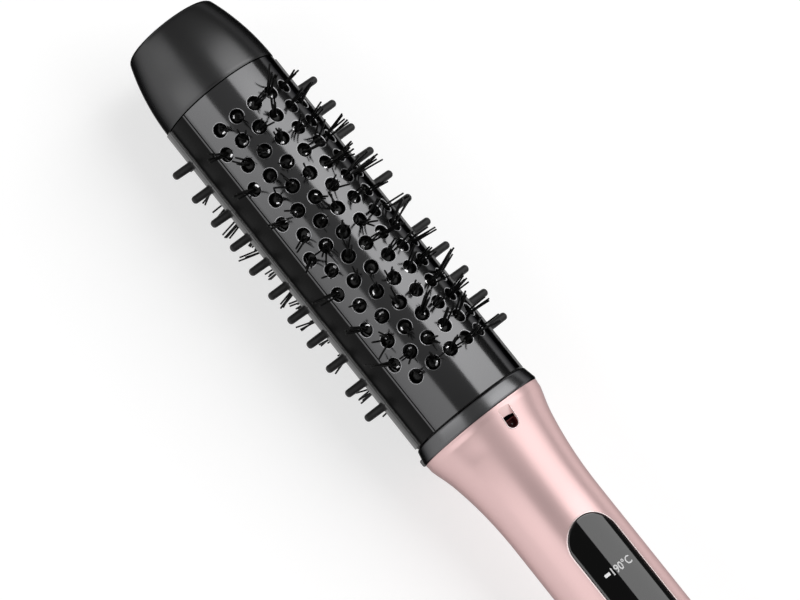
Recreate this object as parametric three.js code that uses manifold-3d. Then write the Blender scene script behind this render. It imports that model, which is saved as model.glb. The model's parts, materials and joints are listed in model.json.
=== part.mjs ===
// Heated styling brush: a round heated barrel with bristles, on a handle with a control window.
// Lengths are in millimetres. +X runs from the cord end to the tip, and +Z out of the window.
// While it is drawn, x = 0 is the seam between the handle and the collar, on the barrel's axis.
// The finished group is moved so that the brush lies on its back bristles at z = 0.

import * as THREE from 'three';
import { mergeGeometries, mergeVertices } from 'three/addons/utils/BufferGeometryUtils.js';
import Module from 'manifold-3d';

const wasm = await Module();
wasm.setup();

const degrees = THREE.MathUtils.degToRad;

// Fits
const CLEARANCE = 0.3;
const CUT_MARGIN = 1;
const CUT_TOLERANCE = 0.004;

// Barrel
const BARREL_RADIUS = 22.5;
const BARREL_LENGTH = 137;
const PLATE_WALL = 1.3;
const PLATE_EDGE_CHAMFER = 0.6;
const HOLE_DIAMETER = 5;
const HOLE_ROW_PITCH = 7.6;
const HOLE_COLUMN_PITCH = 7.58;
const HOLES_IN_WIDE_ROW = 6;
const COLLAR_TO_FIRST_ROW = 18.1;
const LAST_ROW_TO_CAP = 12;

// Bristles and the strips that carry them
const CARRIER_WALL = 1;
const CARRIER_DEPTH = 0.8;
const BRISTLE_PROUD = 8.5;
const BRISTLE_UNEVENNESS = 1.1;
const BRISTLE_ROOT_WIDTH = 0.8;
const BRISTLE_SIDES = 3;
const BRISTLES_PER_HOLE = 2;
const BRISTLE_ROOT_OFFSET = 0.8;
const BRISTLE_TWIST = degrees(45);
const BRISTLE_LEAN_MIN = degrees(4);
const BRISTLE_LEAN_MAX = degrees(14);
const REST_FLAT_DEPTH = 0.5;

// Cool pins on the two side strips
const STRIP_WIDTH = 4;
const STRIP_PROUD = 1.1;
const STRIP_FOOT_WIDTH = 9;
const STRIP_FOOT_WALL = 1.2;
const PIN_PITCH = 10.56;
const PIN_LENGTH = 8;
const PIN_ROOT_DIAMETER = 4.4;
const PIN_DIAMETER = 3;
const PIN_TIP_DIAMETER = 2.7;
const PIN_TIP_ROUND = 0.8;
const PIN_FLARE_LENGTH = 1;

// Heater core
const SPREADER_BASE_WIDTH = 20;
const SPREADER_ARM_TO_CARRIER = 2.8;
const SPREADER_ARM_TO_FOOT = 1.6;
const SPREADER_CHANNEL_DIAMETER = 8.4;
const SPREADER_CHANNEL_OFFSET = 8;
const HEATER_WIDTH = 14;
const HEATER_THICKNESS = 2.4;
const HEATER_END_MARGIN = 5;
const FUSE_DIAMETER = 2.4;
const FUSE_LENGTH = 11;
const FUSE_FROM_HEATER_END = 8;

// Spacers that hold the plates, the strips and the heater core
const SPACER_IN_BARREL = 6;
const UPPER_SPACER_IN_CAP = 7;
const UPPER_SPACER_FLOOR = 3;
const UPPER_SPACER_RIM = 2.5;
const UPPER_SPACER_HOLE_DIAMETER = 12;
const LOWER_SPACER_IN_HANDLE = 3.2;
const SPIGOT_LENGTH = 21;
const SPIGOT_WALL = 4.5;

// Tip cap
const CAP_LENGTH = 29.3;
const CAP_PROUD = 0.25;
const CAP_DRAW = 4.85;
const CAP_CORNER_RADIUS = 1.2;
const CAP_WALL = 2;

// Collar and its two rest feet
const COLLAR_LENGTH = 5.4;
const COLLAR_PROUD = 0.8;
const COLLAR_CORNER_RADIUS = 1.5;
const FOOT_ANGLE = degrees(131);
const FOOT_PROUD = 3.7;
const FOOT_WIDTH = 6;
const FOOT_LENGTH = 2.7;

// Handle shell
const HANDLE_LENGTH = 150;
const HANDLE_MOUTH_PROUD = 0.7;
const HANDLE_SHOULDER_PROUD = 1.25;
const HANDLE_BEVEL = 0.8;
const GRIP_RADIUS = 18;
const NECK_LENGTH = 42;
const NECK_PULL_DROP = 2.95;
const NECK_PULL = 11;
const NECK_RELEASE = 24;
const HANDLE_WALL = 2;
const FRONT_FLATTENING = 2.35;
const FRONT_FLAT_FROM = 16;
const FRONT_FLAT_TO = 46;
const FRONT_EDGE_SHARPNESS = 24;
const FRONT_EDGE_FULL = 34;

// Ion outlet in the neck
const OUTLET_WIDTH = 3.6;
const OUTLET_FROM = 1.8;
const OUTLET_TO = 10.4;
const OUTLET_RAMP_TO = 6.2;
const OUTLET_RAMP_DROP = 2.6;
const NOZZLE_BORE = 2;
const NOZZLE_BORE_DEPTH = 4.5;
const NEEDLE_DIAMETER = 0.9;
const NEEDLE_LENGTH = 3.4;

// Control window and what lies under it
const WINDOW_WIDTH = 19.2;
const WINDOW_FROM = 45.5;
const WINDOW_THICKNESS = 2.6;
const WINDOW_CROWN_RADIUS = 66;
const WINDOW_TO_HANDLE_END = 18.4;
const LABEL_FROM_WINDOW_TOP = 20.5;
const LABEL_TO_BUTTON = 13;
const BUTTON_PITCH = 11.5;
const POWER_BUTTON_DIAMETER = 9;
const TEMP_BUTTON_WIDTH = 10;
const TEMP_BUTTON_HEIGHT = 7;
const BUTTON_PROUD = 0.7;
const BUTTON_FLANGE = 0.7;
const BUTTON_FLANGE_THICKNESS = 1;
const BUTTON_TRAVEL = 0.6;
const SWITCH_SIZE = 5;
const SWITCH_HEIGHT = 1.8;
const PLUNGER_DIAMETER = 2.4;
const WINDOW_CARRIER_INSET = 1;
const LIGHT_GUIDE_LENGTH = 2.4;
const LIGHT_GUIDE_WIDTH = 3.2;
const LIGHT_GUIDE_OFFSET = 4.55;

// Chassis, board and their screws
const BOARD_SIDE_GAP = 0.6;
const BOARD_THICKNESS = 1.6;
const BOARD_UNDER_FRONT = 7.65;
const BOARD_BEFORE_WINDOW = 11.5;
const BOARD_AFTER_WINDOW = 7.6;
const CHASSIS_WALL = 1.8;
const SOCKET_BELOW_OUTLET = 2;
const SOCKET_WALL = 2;
const RIB_LENGTH = 7;
const RIB_HEIGHT = 13;
const SCREW_SHAFT_DIAMETER = 2.2;
const SCREW_HEAD_DIAMETER = 4.4;
const SCREW_HEAD_HEIGHT = 1.6;
const BOARD_SCREW_LENGTH = 7;
const SOCKET_SCREW_LENGTH = 4.5;
const SOCKET_SCREW_RECESS = 1;
const ION_BLOCK_LENGTH = 24;
const ION_BLOCK_WIDTH = 14;
const ION_BLOCK_HEIGHT = 10;
const ION_BLOCK_FROM = 60;

// End cap and cord swivel
const END_CAP_LENGTH = 6;
const END_CAP_CORNER_RADIUS = 2.5;
const END_CAP_IN_HANDLE = 6;
const SWIVEL_SLEEVE_DIAMETER = 16;
const SWIVEL_FLANGE_DIAMETER = 21;
const SWIVEL_FLANGE_THICKNESS = 2.4;
const SWIVEL_SEAT_DEPTH = 2.7;
const GLAND_LENGTH = 10;
const GLAND_TIP_DIAMETER = 13;
const GLAND_CORNER_RADIUS = 1.2;
const CORD_BORE_DIAMETER = 7.6;
const RETAINER_THICKNESS = 2;
const RETAINER_SCREW_LENGTH = 6;

// Fineness of the round forms
const CYLINDER_SIDES = 36;
const INNER_SIDES = 24;
const CAPSULE_CORNERS = 24;
const SMALL_SIDES = 8;
const HOLE_SIDES = 8;
const PIN_SIDES = 6;
const BUTTON_CORNERS = 16;
const SLOT_CORNERS = 12;

// Places along the brush
const COLLAR_START = CLEARANCE;
const PLATE_START = COLLAR_START + COLLAR_LENGTH + CLEARANCE;
const PLATE_END = PLATE_START + BARREL_LENGTH;
const CAP_START = PLATE_END + CLEARANCE;
const TIP = CAP_START + CAP_LENGTH;
const CORE_START = PLATE_START + SPACER_IN_BARREL + CLEARANCE;
const CORE_END = PLATE_END - SPACER_IN_BARREL - CLEARANCE;
const FIRST_ROW = PLATE_START + COLLAR_TO_FIRST_ROW;
const HANDLE_END = -HANDLE_LENGTH;
const END_CAP_FACE = HANDLE_END - CLEARANCE - END_CAP_LENGTH;
const GLAND_END = END_CAP_FACE - GLAND_LENGTH;
const WINDOW_TOP = -WINDOW_FROM;
const HIGH_LABEL = WINDOW_TOP - LABEL_FROM_WINDOW_TOP;
const WINDOW_END = HANDLE_END + WINDOW_TO_HANDLE_END;
const POWER_PLACE = WINDOW_END + WINDOW_WIDTH / 2;
const TEMP_DOWN_PLACE = POWER_PLACE + BUTTON_PITCH;
const TEMP_UP_PLACE = TEMP_DOWN_PLACE + BUTTON_PITCH;
const LOW_LABEL = TEMP_UP_PLACE + LABEL_TO_BUTTON;
const BOARD_START = WINDOW_TOP + BOARD_BEFORE_WINDOW;
const BOARD_END = WINDOW_END - BOARD_AFTER_WINDOW;
const PLUG_END = HANDLE_END + END_CAP_IN_HANDLE;
const RETAINER_START = PLUG_END + CLEARANCE;
const RETAINER_END = RETAINER_START + RETAINER_THICKNESS;
const RETAINER_SCREW_SEAT = RETAINER_END + CLEARANCE;
const TROUGH_START = RETAINER_SCREW_SEAT + SCREW_HEAD_HEIGHT + CLEARANCE;

// Sizes that follow from a neighbour
const HOLE_COLUMN_ANGLE = HOLE_COLUMN_PITCH / BARREL_RADIUS;
const BRISTLE_REACH = BARREL_RADIUS + BRISTLE_PROUD;
const CAP_BASE_RADIUS = BARREL_RADIUS + CAP_PROUD;
const CAP_TOP_RADIUS = CAP_BASE_RADIUS - CAP_DRAW;
const COLLAR_RADIUS = BARREL_RADIUS + COLLAR_PROUD;
const FOOT_REACH = COLLAR_RADIUS + FOOT_PROUD;
const HANDLE_MOUTH_RADIUS = BARREL_RADIUS + HANDLE_MOUTH_PROUD;
const HANDLE_SHOULDER_RADIUS = BARREL_RADIUS + HANDLE_SHOULDER_PROUD;
const FRONT_DEPTH = GRIP_RADIUS - FRONT_FLATTENING;
const PLATE_INNER_RADIUS = BARREL_RADIUS - PLATE_WALL;
const CARRIER_RADIUS = PLATE_INNER_RADIUS - CARRIER_DEPTH;
const CARRIER_INNER_RADIUS = CARRIER_RADIUS - CARRIER_WALL;
const SPACER_RADIUS = PLATE_INNER_RADIUS - CLEARANCE;
const STRIP_FOOT_TOP = PLATE_INNER_RADIUS - CLEARANCE - PLATE_EDGE_CHAMFER / 2;
const CHASSIS_RADIUS = GRIP_RADIUS - HANDLE_WALL - CLEARANCE;
const SPIGOT_RADIUS = CHASSIS_RADIUS - SOCKET_WALL - 2 * CLEARANCE;
const BOARD_TOP = FRONT_DEPTH - BOARD_UNDER_FRONT;
const BOARD_WIDTH = 2 * (Math.sqrt((GRIP_RADIUS - HANDLE_WALL) ** 2 - BOARD_TOP ** 2) - BOARD_SIDE_GAP);
const WINDOW_BOTTOM = FRONT_DEPTH - WINDOW_THICKNESS;
const CARRIER_TOP = WINDOW_BOTTOM - CLEARANCE;
const PLUNGER_TOP = CARRIER_TOP - BUTTON_FLANGE_THICKNESS - BUTTON_TRAVEL - CLEARANCE;

// Surfaces and booleans

function withoutSlivers(geometry) {
  const source = geometry.clone();
  source.deleteAttribute('normal');
  source.deleteAttribute('uv');
  const merged = mergeVertices(source, 1e-4);
  const kept = [];
  for (let i = 0; i < merged.index.count; i += 3) {
    const corners = [0, 1, 2].map((k) => merged.index.getX(i + k));
    if (new Set(corners).size === 3) kept.push(...corners);
  }
  merged.setIndex(kept);
  return merged;
}

function signedVolume(geometry) {
  const corner = [new THREE.Vector3(), new THREE.Vector3(), new THREE.Vector3()];
  let volume = 0;
  for (let i = 0; i < geometry.index.count; i += 3) {
    corner.forEach((point, k) => {
      point.fromBufferAttribute(geometry.attributes.position, geometry.index.getX(i + k));
    });
    volume += corner[0].dot(corner[1].cross(corner[2])) / 6;
  }
  return volume;
}

function outward(geometry) {
  const surface = withoutSlivers(geometry);
  if (signedVolume(surface) < 0) surface.index.array.reverse();
  return surface;
}

function solid(geometry) {
  const surface = outward(geometry);
  return new wasm.Manifold(new wasm.Mesh({
    numProp: 3,
    vertProperties: new Float32Array(surface.attributes.position.array),
    triVerts: new Uint32Array(surface.index.array),
  }));
}

// Gives back a solid's surface, without the points that lie on a straight edge or a flat face.
function geometryOf(body) {
  const mesh = body.asOriginal().simplify(CUT_TOLERANCE).getMesh();
  const geometry = new THREE.BufferGeometry();
  geometry.setAttribute('position', new THREE.BufferAttribute(mesh.vertProperties, 3));
  geometry.setIndex(new THREE.BufferAttribute(mesh.triVerts, 1));
  return geometry;
}

function cut(geometry, ...cutters) {
  const body = cutters.reduce((rest, cutter) => rest.subtract(solid(cutter)), solid(geometry));
  return geometryOf(body);
}

function join(...geometries) {
  const body = geometries.slice(1).reduce((sum, piece) => sum.add(solid(piece)), solid(geometries[0]));
  return geometryOf(body);
}

function common(first, second) {
  return geometryOf(solid(first).intersect(solid(second)));
}

// Basic forms

// Revolves a profile of [x, radius] points about the brush's axis.
function revolve(profile, sides = CYLINDER_SIDES) {
  const points = profile.map(([x, radius]) => new THREE.Vector2(radius, x));
  return outward(new THREE.LatheGeometry(points, sides).rotateZ(-Math.PI / 2));
}

// Revolves a profile of [height, radius] points about a line along +Z.
function turned(profile, sides = SMALL_SIDES) {
  const points = profile.map(([height, radius]) => new THREE.Vector2(radius, height));
  return outward(new THREE.LatheGeometry(points, sides).rotateX(Math.PI / 2));
}

// A plain rod along +Z.
function rod(diameter, from, to, sides = SMALL_SIDES) {
  return turned([[from, 0], [from, diameter / 2], [to, diameter / 2], [to, 0]], sides);
}

function closed(profile) {
  return [...profile, profile[0]];
}

// Extrudes a shape drawn in the (y, z) plane along +X.
function alongX(shape, from, to) {
  const geometry = new THREE.ExtrudeGeometry(shape, { depth: to - from, bevelEnabled: false });
  const axes = new THREE.Matrix4().set(0, 0, 1, from, 1, 0, 0, 0, 0, 1, 0, 0, 0, 0, 0, 1);
  return outward(geometry.applyMatrix4(axes));
}

// Extrudes a shape drawn in the (x, y) plane along +Z.
function alongZ(shape, from, to) {
  const geometry = new THREE.ExtrudeGeometry(shape, { depth: to - from, bevelEnabled: false });
  return outward(geometry.translate(0, 0, from));
}

// Extrudes a shape drawn in the (x, z) plane, centred across Y.
function acrossY(shape, width) {
  const geometry = new THREE.ExtrudeGeometry(shape, { depth: width, bevelEnabled: false });
  return outward(geometry.translate(0, 0, -width / 2).rotateX(Math.PI / 2));
}

function box(from, to) {
  const size = to.map((value, i) => value - from[i]);
  const centre = to.map((value, i) => (value + from[i]) / 2);
  return new THREE.BoxGeometry(...size).translate(...centre);
}

// A shape with round ends whose flat sides lie at the stated radius.
function capsule(straightX, straightY, radius, corners = CAPSULE_CORNERS) {
  const cornerRadius = radius / Math.cos(Math.PI / corners);
  const points = [];
  for (let i = 0; i < corners; i += 1) {
    const angle = ((i + 0.5) * 2 * Math.PI) / corners;
    const x = Math.sign(Math.cos(angle)) * straightX / 2 + cornerRadius * Math.cos(angle);
    const y = Math.sign(Math.sin(angle)) * straightY / 2 + cornerRadius * Math.sin(angle);
    points.push(new THREE.Vector2(x, y));
  }
  return new THREE.Shape(points);
}

function shapeAt(shape, x, y) {
  return new THREE.Shape(shape.getPoints().map((point) => new THREE.Vector2(point.x + x, point.y + y)));
}

// A point in the (y, z) plane at an angle from the front, which is +Z.
function polar(radius, angle) {
  return new THREE.Vector2(radius * Math.sin(angle), radius * Math.cos(angle));
}

function arcAngles(from, to, steps) {
  return Array.from({ length: steps + 1 }, (unused, i) => from + ((to - from) * i) / steps);
}

// A quarter round of [x, radius] points about a centre.
function quarter(centreX, centreRadius, radius, from, steps = 3) {
  return arcAngles(from, from + Math.PI / 2, steps)
    .map((angle) => [centreX + radius * Math.cos(angle), centreRadius + radius * Math.sin(angle)]);
}

// A seeded generator, so that the bristles are uneven in the same way each time.
function seededRandom(seed) {
  let state = seed;
  return () => {
    state = (state + 0x6d2b79f5) | 0;
    let mixed = Math.imul(state ^ (state >>> 15), 1 | state);
    mixed = (mixed + Math.imul(mixed ^ (mixed >>> 7), 61 | mixed)) ^ mixed;
    return ((mixed ^ (mixed >>> 14)) >>> 0) / 4294967296;
  };
}

// The hole pattern: staggered rows, the odd ones with a hole on the centre line

function holePattern() {
  const rows = 1 + Math.floor((BARREL_LENGTH - COLLAR_TO_FIRST_ROW - LAST_ROW_TO_CAP) / HOLE_ROW_PITCH);
  const holes = [];
  for (let row = 0; row < rows; row += 1) {
    const count = row % 2 === 0 ? HOLES_IN_WIDE_ROW - 1 : HOLES_IN_WIDE_ROW;
    for (let column = 0; column < count; column += 1) {
      const angle = (column - (count - 1) / 2) * HOLE_COLUMN_ANGLE;
      holes.push({ x: FIRST_ROW + row * HOLE_ROW_PITCH, angle });
    }
  }
  return holes;
}

const HOLES = holePattern();

// Plates: two perforated half shells. Their facets meet on the hole centres.

function plateSection() {
  const edge = STRIP_WIDTH / 2 + CLEARANCE;
  const facet = HOLE_COLUMN_ANGLE / 2;
  const edgeAngle = (radius) => Math.acos(edge / radius);
  const facets = Math.floor((edgeAngle(BARREL_RADIUS) - facet / 2) / facet);
  const angles = arcAngles(-facets * facet, facets * facet, 2 * facets);
  const outerEdge = polar(BARREL_RADIUS, Math.acos((edge + PLATE_EDGE_CHAMFER) / BARREL_RADIUS));
  const cornerY = BARREL_RADIUS * Math.sin(edgeAngle(BARREL_RADIUS)) - PLATE_EDGE_CHAMFER;
  const innerY = PLATE_INNER_RADIUS * Math.sin(edgeAngle(PLATE_INNER_RADIUS));
  return new THREE.Shape([
    new THREE.Vector2(-innerY, edge),
    new THREE.Vector2(-cornerY, edge),
    new THREE.Vector2(-outerEdge.x, outerEdge.y),
    ...angles.map((angle) => polar(BARREL_RADIUS, angle)),
    outerEdge,
    new THREE.Vector2(cornerY, edge),
    new THREE.Vector2(innerY, edge),
    ...angles.reverse().map((angle) => polar(PLATE_INNER_RADIUS, angle)),
  ]);
}

function holeCutter({ x, angle }) {
  const length = PLATE_WALL + 2 * CUT_MARGIN;
  const cornerRadius = HOLE_DIAMETER / 2 / Math.cos(Math.PI / HOLE_SIDES);
  return new THREE.CylinderGeometry(cornerRadius, cornerRadius, length, HOLE_SIDES)
    .rotateX(Math.PI / 2)
    .translate(x, 0, BARREL_RADIUS - PLATE_WALL / 2)
    .rotateX(-angle);
}

function plate() {
  const shell = alongX(plateSection(), PLATE_START, PLATE_END);
  return cut(shell, mergeGeometries(HOLES.map(holeCutter)));
}

// Bristles: tufts on a curved strip under each plate

function strand(hole, azimuth, lean, reach) {
  const root = CARRIER_RADIUS - CARRIER_WALL / 2;
  const length = (reach - root) / Math.cos(lean);
  const heading = azimuth + (lean / BRISTLE_LEAN_MAX - 0.5) * BRISTLE_TWIST;
  return new THREE.ConeGeometry(BRISTLE_ROOT_WIDTH / 2, length, BRISTLE_SIDES)
    .translate(0, length / 2, 0)
    .rotateX(Math.PI / 2)
    .rotateY(lean)
    .rotateZ(heading)
    .translate(BRISTLE_ROOT_OFFSET * Math.cos(azimuth), BRISTLE_ROOT_OFFSET * Math.sin(azimuth), root)
    .rotateX(-hole.angle)
    .translate(hole.x, 0, 0);
}

function tuft(hole, random) {
  const start = random() * 2 * Math.PI;
  return Array.from({ length: BRISTLES_PER_HOLE }, (unused, i) => {
    const azimuth = start + (i * 2 * Math.PI) / BRISTLES_PER_HOLE + (random() - 0.5) * 0.7;
    const lean = BRISTLE_LEAN_MIN + random() * (BRISTLE_LEAN_MAX - BRISTLE_LEAN_MIN);
    return strand(hole, azimuth, lean, BRISTLE_REACH - random() * BRISTLE_UNEVENNESS);
  });
}

function carrierAngles() {
  const facets = 2 * HOLES_IN_WIDE_ROW - 1;
  const half = (facets * HOLE_COLUMN_ANGLE) / 4;
  return arcAngles(-half, half, facets);
}

function bristleSet(seed) {
  const angles = carrierAngles();
  const section = new THREE.Shape([
    ...angles.map((angle) => polar(CARRIER_RADIUS, angle)),
    ...angles.reverse().map((angle) => polar(CARRIER_INNER_RADIUS, angle)),
  ]);
  const random = seededRandom(seed);
  const strands = mergeGeometries(HOLES.flatMap((hole) => tuft(hole, random)));
  return join(alongX(section, CORE_START, CORE_END), strands);
}

// The back set is cut flat where the brush rests on it.
function restingBristles() {
  const flat = BRISTLE_REACH - REST_FLAT_DEPTH;
  const beyond = box(
    [CORE_START, -BRISTLE_REACH, flat],
    [CORE_END, BRISTLE_REACH, BRISTLE_REACH + CUT_MARGIN],
  );
  return cut(bristleSet(29), beyond);
}

// Pin strips: a rail with a foot behind the plate edges, and a row of round-ended pins

function pin(x, seat) {
  return turned([
    [-STRIP_PROUD / 2, 0],
    [-STRIP_PROUD / 2, PIN_ROOT_DIAMETER / 2],
    [0, PIN_ROOT_DIAMETER / 2],
    [PIN_FLARE_LENGTH, PIN_DIAMETER / 2],
    [PIN_LENGTH - PIN_TIP_ROUND, PIN_TIP_DIAMETER / 2],
    [PIN_LENGTH, 0],
  ], PIN_SIDES).translate(x, 0, seat);
}

function stripSection(top) {
  const half = STRIP_WIDTH / 2;
  const foot = STRIP_FOOT_WIDTH / 2;
  const round = half / 3;
  return new THREE.Shape([
    new THREE.Vector2(-foot, STRIP_FOOT_TOP - STRIP_FOOT_WALL),
    new THREE.Vector2(foot, STRIP_FOOT_TOP - STRIP_FOOT_WALL),
    new THREE.Vector2(foot, STRIP_FOOT_TOP - STRIP_FOOT_WALL / 2),
    new THREE.Vector2(half, STRIP_FOOT_TOP),
    new THREE.Vector2(half, top - round),
    new THREE.Vector2(half - round, top),
    new THREE.Vector2(round - half, top),
    new THREE.Vector2(-half, top - round),
    new THREE.Vector2(-half, STRIP_FOOT_TOP),
    new THREE.Vector2(-foot, STRIP_FOOT_TOP - STRIP_FOOT_WALL / 2),
  ]);
}

function pinStrip() {
  const top = BARREL_RADIUS + STRIP_PROUD;
  const count = 1 + Math.floor((BARREL_LENGTH - COLLAR_TO_FIRST_ROW - LAST_ROW_TO_CAP) / PIN_PITCH);
  const pins = Array.from({ length: count }, (unused, i) => pin(FIRST_ROW + i * PIN_PITCH, top));
  return join(alongX(stripSection(top), PLATE_START, PLATE_END), mergeGeometries(pins));
}

// Heater core: a flat heater between two extruded heat spreaders

function spreaderSection() {
  const seat = CARRIER_INNER_RADIUS - CLEARANCE;
  const base = HEATER_THICKNESS / 2 + CLEARANCE;
  const armFrom = carrierAngles().at(-1) + SPREADER_ARM_TO_CARRIER / SPACER_RADIUS;
  const armTo = Math.acos((STRIP_FOOT_WIDTH / 2 + SPREADER_ARM_TO_FOOT) / SPACER_RADIUS);
  const armAngles = arcAngles(armFrom, armTo, 2);
  const armFoot = polar(seat - CARRIER_WALL, armTo);
  const section = new THREE.Shape([
    new THREE.Vector2(SPREADER_BASE_WIDTH / 2, base),
    armFoot,
    ...armAngles.slice().reverse().map((angle) => polar(SPACER_RADIUS, angle)),
    ...carrierAngles().reverse().map((angle) => polar(seat, angle)),
    ...armAngles.map((angle) => polar(SPACER_RADIUS, -angle)),
    new THREE.Vector2(-armFoot.x, armFoot.y),
    new THREE.Vector2(-SPREADER_BASE_WIDTH / 2, base),
  ]);
  const channel = capsule(0, 0, SPREADER_CHANNEL_DIAMETER / 2, SLOT_CORNERS);
  const channelHeight = (seat + base) / 2 - CARRIER_WALL;
  [1, -1].forEach((side) => {
    section.holes.push(shapeAt(channel, side * SPREADER_CHANNEL_OFFSET, channelHeight));
  });
  return section;
}

function spreader() {
  return alongX(spreaderSection(), CORE_START, CORE_END);
}

function heater() {
  const half = [HEATER_WIDTH / 2, HEATER_THICKNESS / 2];
  return box(
    [CORE_START + HEATER_END_MARGIN, -half[0], -half[1]],
    [CORE_END - HEATER_END_MARGIN, half[0], half[1]],
  );
}

function thermalFuse() {
  const from = CORE_START + HEATER_END_MARGIN + FUSE_FROM_HEATER_END;
  const radius = FUSE_DIAMETER / 2;
  const to = from + FUSE_LENGTH;
  return revolve([[from, 0], [from, radius], [to, radius], [to, 0]], SMALL_SIDES)
    .translate(0, HEATER_WIDTH / 2 + CLEARANCE + radius, 0);
}

// Spacers

function footNotches(from, to) {
  const half = STRIP_FOOT_WIDTH / 2 + CLEARANCE;
  const floor = STRIP_FOOT_TOP - STRIP_FOOT_WALL - CLEARANCE;
  const outside = BARREL_RADIUS;
  return [
    box([from - CUT_MARGIN, floor, -half], [to + CUT_MARGIN, outside, half]),
    box([from - CUT_MARGIN, -outside, -half], [to + CUT_MARGIN, -floor, half]),
  ];
}

function upperSpacer() {
  const from = PLATE_END - SPACER_IN_BARREL;
  const to = CAP_START + UPPER_SPACER_IN_CAP;
  const rim = SPACER_RADIUS - UPPER_SPACER_RIM;
  const hole = UPPER_SPACER_HOLE_DIAMETER / 2;
  const floor = from + UPPER_SPACER_FLOOR;
  const cup = revolve(closed([
    [from, hole], [from, SPACER_RADIUS], [to, SPACER_RADIUS], [to, rim], [floor, rim], [floor, hole],
  ]), INNER_SIDES);
  return cut(cup, ...footNotches(from, PLATE_END));
}

function lowerSpacer() {
  const to = PLATE_START + SPACER_IN_BARREL;
  const from = -LOWER_SPACER_IN_HANDLE;
  const bore = SPIGOT_RADIUS - SPIGOT_WALL;
  const body = revolve(closed([
    [from - SPIGOT_LENGTH, bore], [from - SPIGOT_LENGTH, SPIGOT_RADIUS], [from, SPIGOT_RADIUS],
    [from, SPACER_RADIUS], [to, SPACER_RADIUS], [to, bore],
  ]), INNER_SIDES);
  return cut(body, ...footNotches(PLATE_START - CLEARANCE, to), ...socketScrewHoles());
}

// Tip cap: a thin cup with convex flanks and a flat top

function capFlank(inset) {
  const flankLength = CAP_LENGTH - CAP_CORNER_RADIUS;
  const draw = CAP_BASE_RADIUS - CAP_TOP_RADIUS;
  const bulge = (flankLength ** 2 + draw ** 2) / (2 * draw);
  const place = (part) => flankLength * part;
  return arcAngles(0, 1, 5).map((part) => {
    const drop = bulge - Math.sqrt(bulge ** 2 - place(part) ** 2);
    return [CAP_START + place(part), CAP_BASE_RADIUS - drop - inset];
  });
}

function tipCap() {
  const mouthDepth = UPPER_SPACER_IN_CAP + CLEARANCE;
  const mouth = SPACER_RADIUS + CLEARANCE;
  const round = CAP_CORNER_RADIUS;
  const corner = quarter(TIP - round, CAP_TOP_RADIUS - round, round, 0).reverse();
  const innerFrom = CAP_START + mouthDepth;
  const innerTo = TIP - CAP_WALL - round;
  const inner = capFlank(CAP_WALL).filter(([x]) => x > innerFrom && x < innerTo);
  const innerTopRadius = CAP_TOP_RADIUS - CAP_WALL;
  return revolve([
    [TIP - CAP_WALL, 0],
    [TIP - CAP_WALL, innerTopRadius],
    ...inner.reverse(),
    [CAP_START + mouthDepth, mouth],
    [CAP_START, mouth],
    ...capFlank(0).slice(0, -1),
    ...corner,
    [TIP, 0],
  ]);
}

// Collar

function restFoot(side) {
  const round = FOOT_WIDTH / 2;
  const radial = FOOT_REACH - round;
  const outline = capsule(0, 2 * (radial - BARREL_RADIUS), round, SLOT_CORNERS);
  return alongX(shapeAt(outline, 0, BARREL_RADIUS), COLLAR_START, COLLAR_START + FOOT_LENGTH)
    .rotateX(-side * FOOT_ANGLE);
}

function collar() {
  const top = COLLAR_START + COLLAR_LENGTH;
  const bore = SPACER_RADIUS + CLEARANCE;
  const round = COLLAR_CORNER_RADIUS;
  const corner = quarter(top - round, COLLAR_RADIUS - round, round, 0);
  const ring = revolve(closed([[COLLAR_START, bore], [top, bore], ...corner, [COLLAR_START, COLLAR_RADIUS]]));
  const core = revolve([
    [COLLAR_START - CUT_MARGIN, 0], [COLLAR_START - CUT_MARGIN, bore],
    [top + CUT_MARGIN, bore], [top + CUT_MARGIN, 0],
  ]);
  return cut(join(ring, restFoot(1), restFoot(-1)), core);
}

// Handle shell: a round neck that runs into a grip with a flattened front

function outerRadius(x) {
  if (x > -HANDLE_BEVEL) return HANDLE_SHOULDER_RADIUS;
  if (x <= -NECK_LENGTH) return GRIP_RADIUS;
  return neckCurve().getPoints(60).reduce((best, point) => (
    Math.abs(point.x - x) < Math.abs(best.x - x) ? point : best
  )).y;
}

function neckCurve() {
  return new THREE.CubicBezierCurve(
    new THREE.Vector2(-HANDLE_BEVEL, HANDLE_SHOULDER_RADIUS),
    new THREE.Vector2(-NECK_PULL, HANDLE_SHOULDER_RADIUS - NECK_PULL_DROP),
    new THREE.Vector2(-NECK_RELEASE, GRIP_RADIUS),
    new THREE.Vector2(-NECK_LENGTH, GRIP_RADIUS),
  );
}

function frontDepth(x, radius) {
  const flatness = THREE.MathUtils.smoothstep(-x, FRONT_FLAT_FROM, FRONT_FLAT_TO);
  return THREE.MathUtils.lerp(radius, FRONT_DEPTH - (GRIP_RADIUS - radius), flatness);
}

// One ring of the shell, where a smaller radius gives the inner skin.
function handleRing(x, radius, inset = 0) {
  const depth = frontDepth(x, radius) - inset;
  const side = radius - inset;
  const ease = THREE.MathUtils.smoothstep(-x, FRONT_FLAT_FROM, FRONT_EDGE_FULL);
  return arcAngles(0, 2 * Math.PI, CYLINDER_SIDES).slice(0, -1).map((angle) => {
    const beyond = (side * Math.max(Math.cos(angle), 0)) / depth;
    const pull = ease * beyond ** FRONT_EDGE_SHARPNESS;
    const point = polar(side * (1 + pull) ** (-1 / FRONT_EDGE_SHARPNESS), angle);
    return new THREE.Vector3(x, point.x, point.y);
  });
}

function circleRing(x, radius) {
  return arcAngles(0, 2 * Math.PI, CYLINDER_SIDES).slice(0, -1).map((angle) => {
    const point = polar(radius, angle);
    return new THREE.Vector3(x, point.x, point.y);
  });
}

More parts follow.
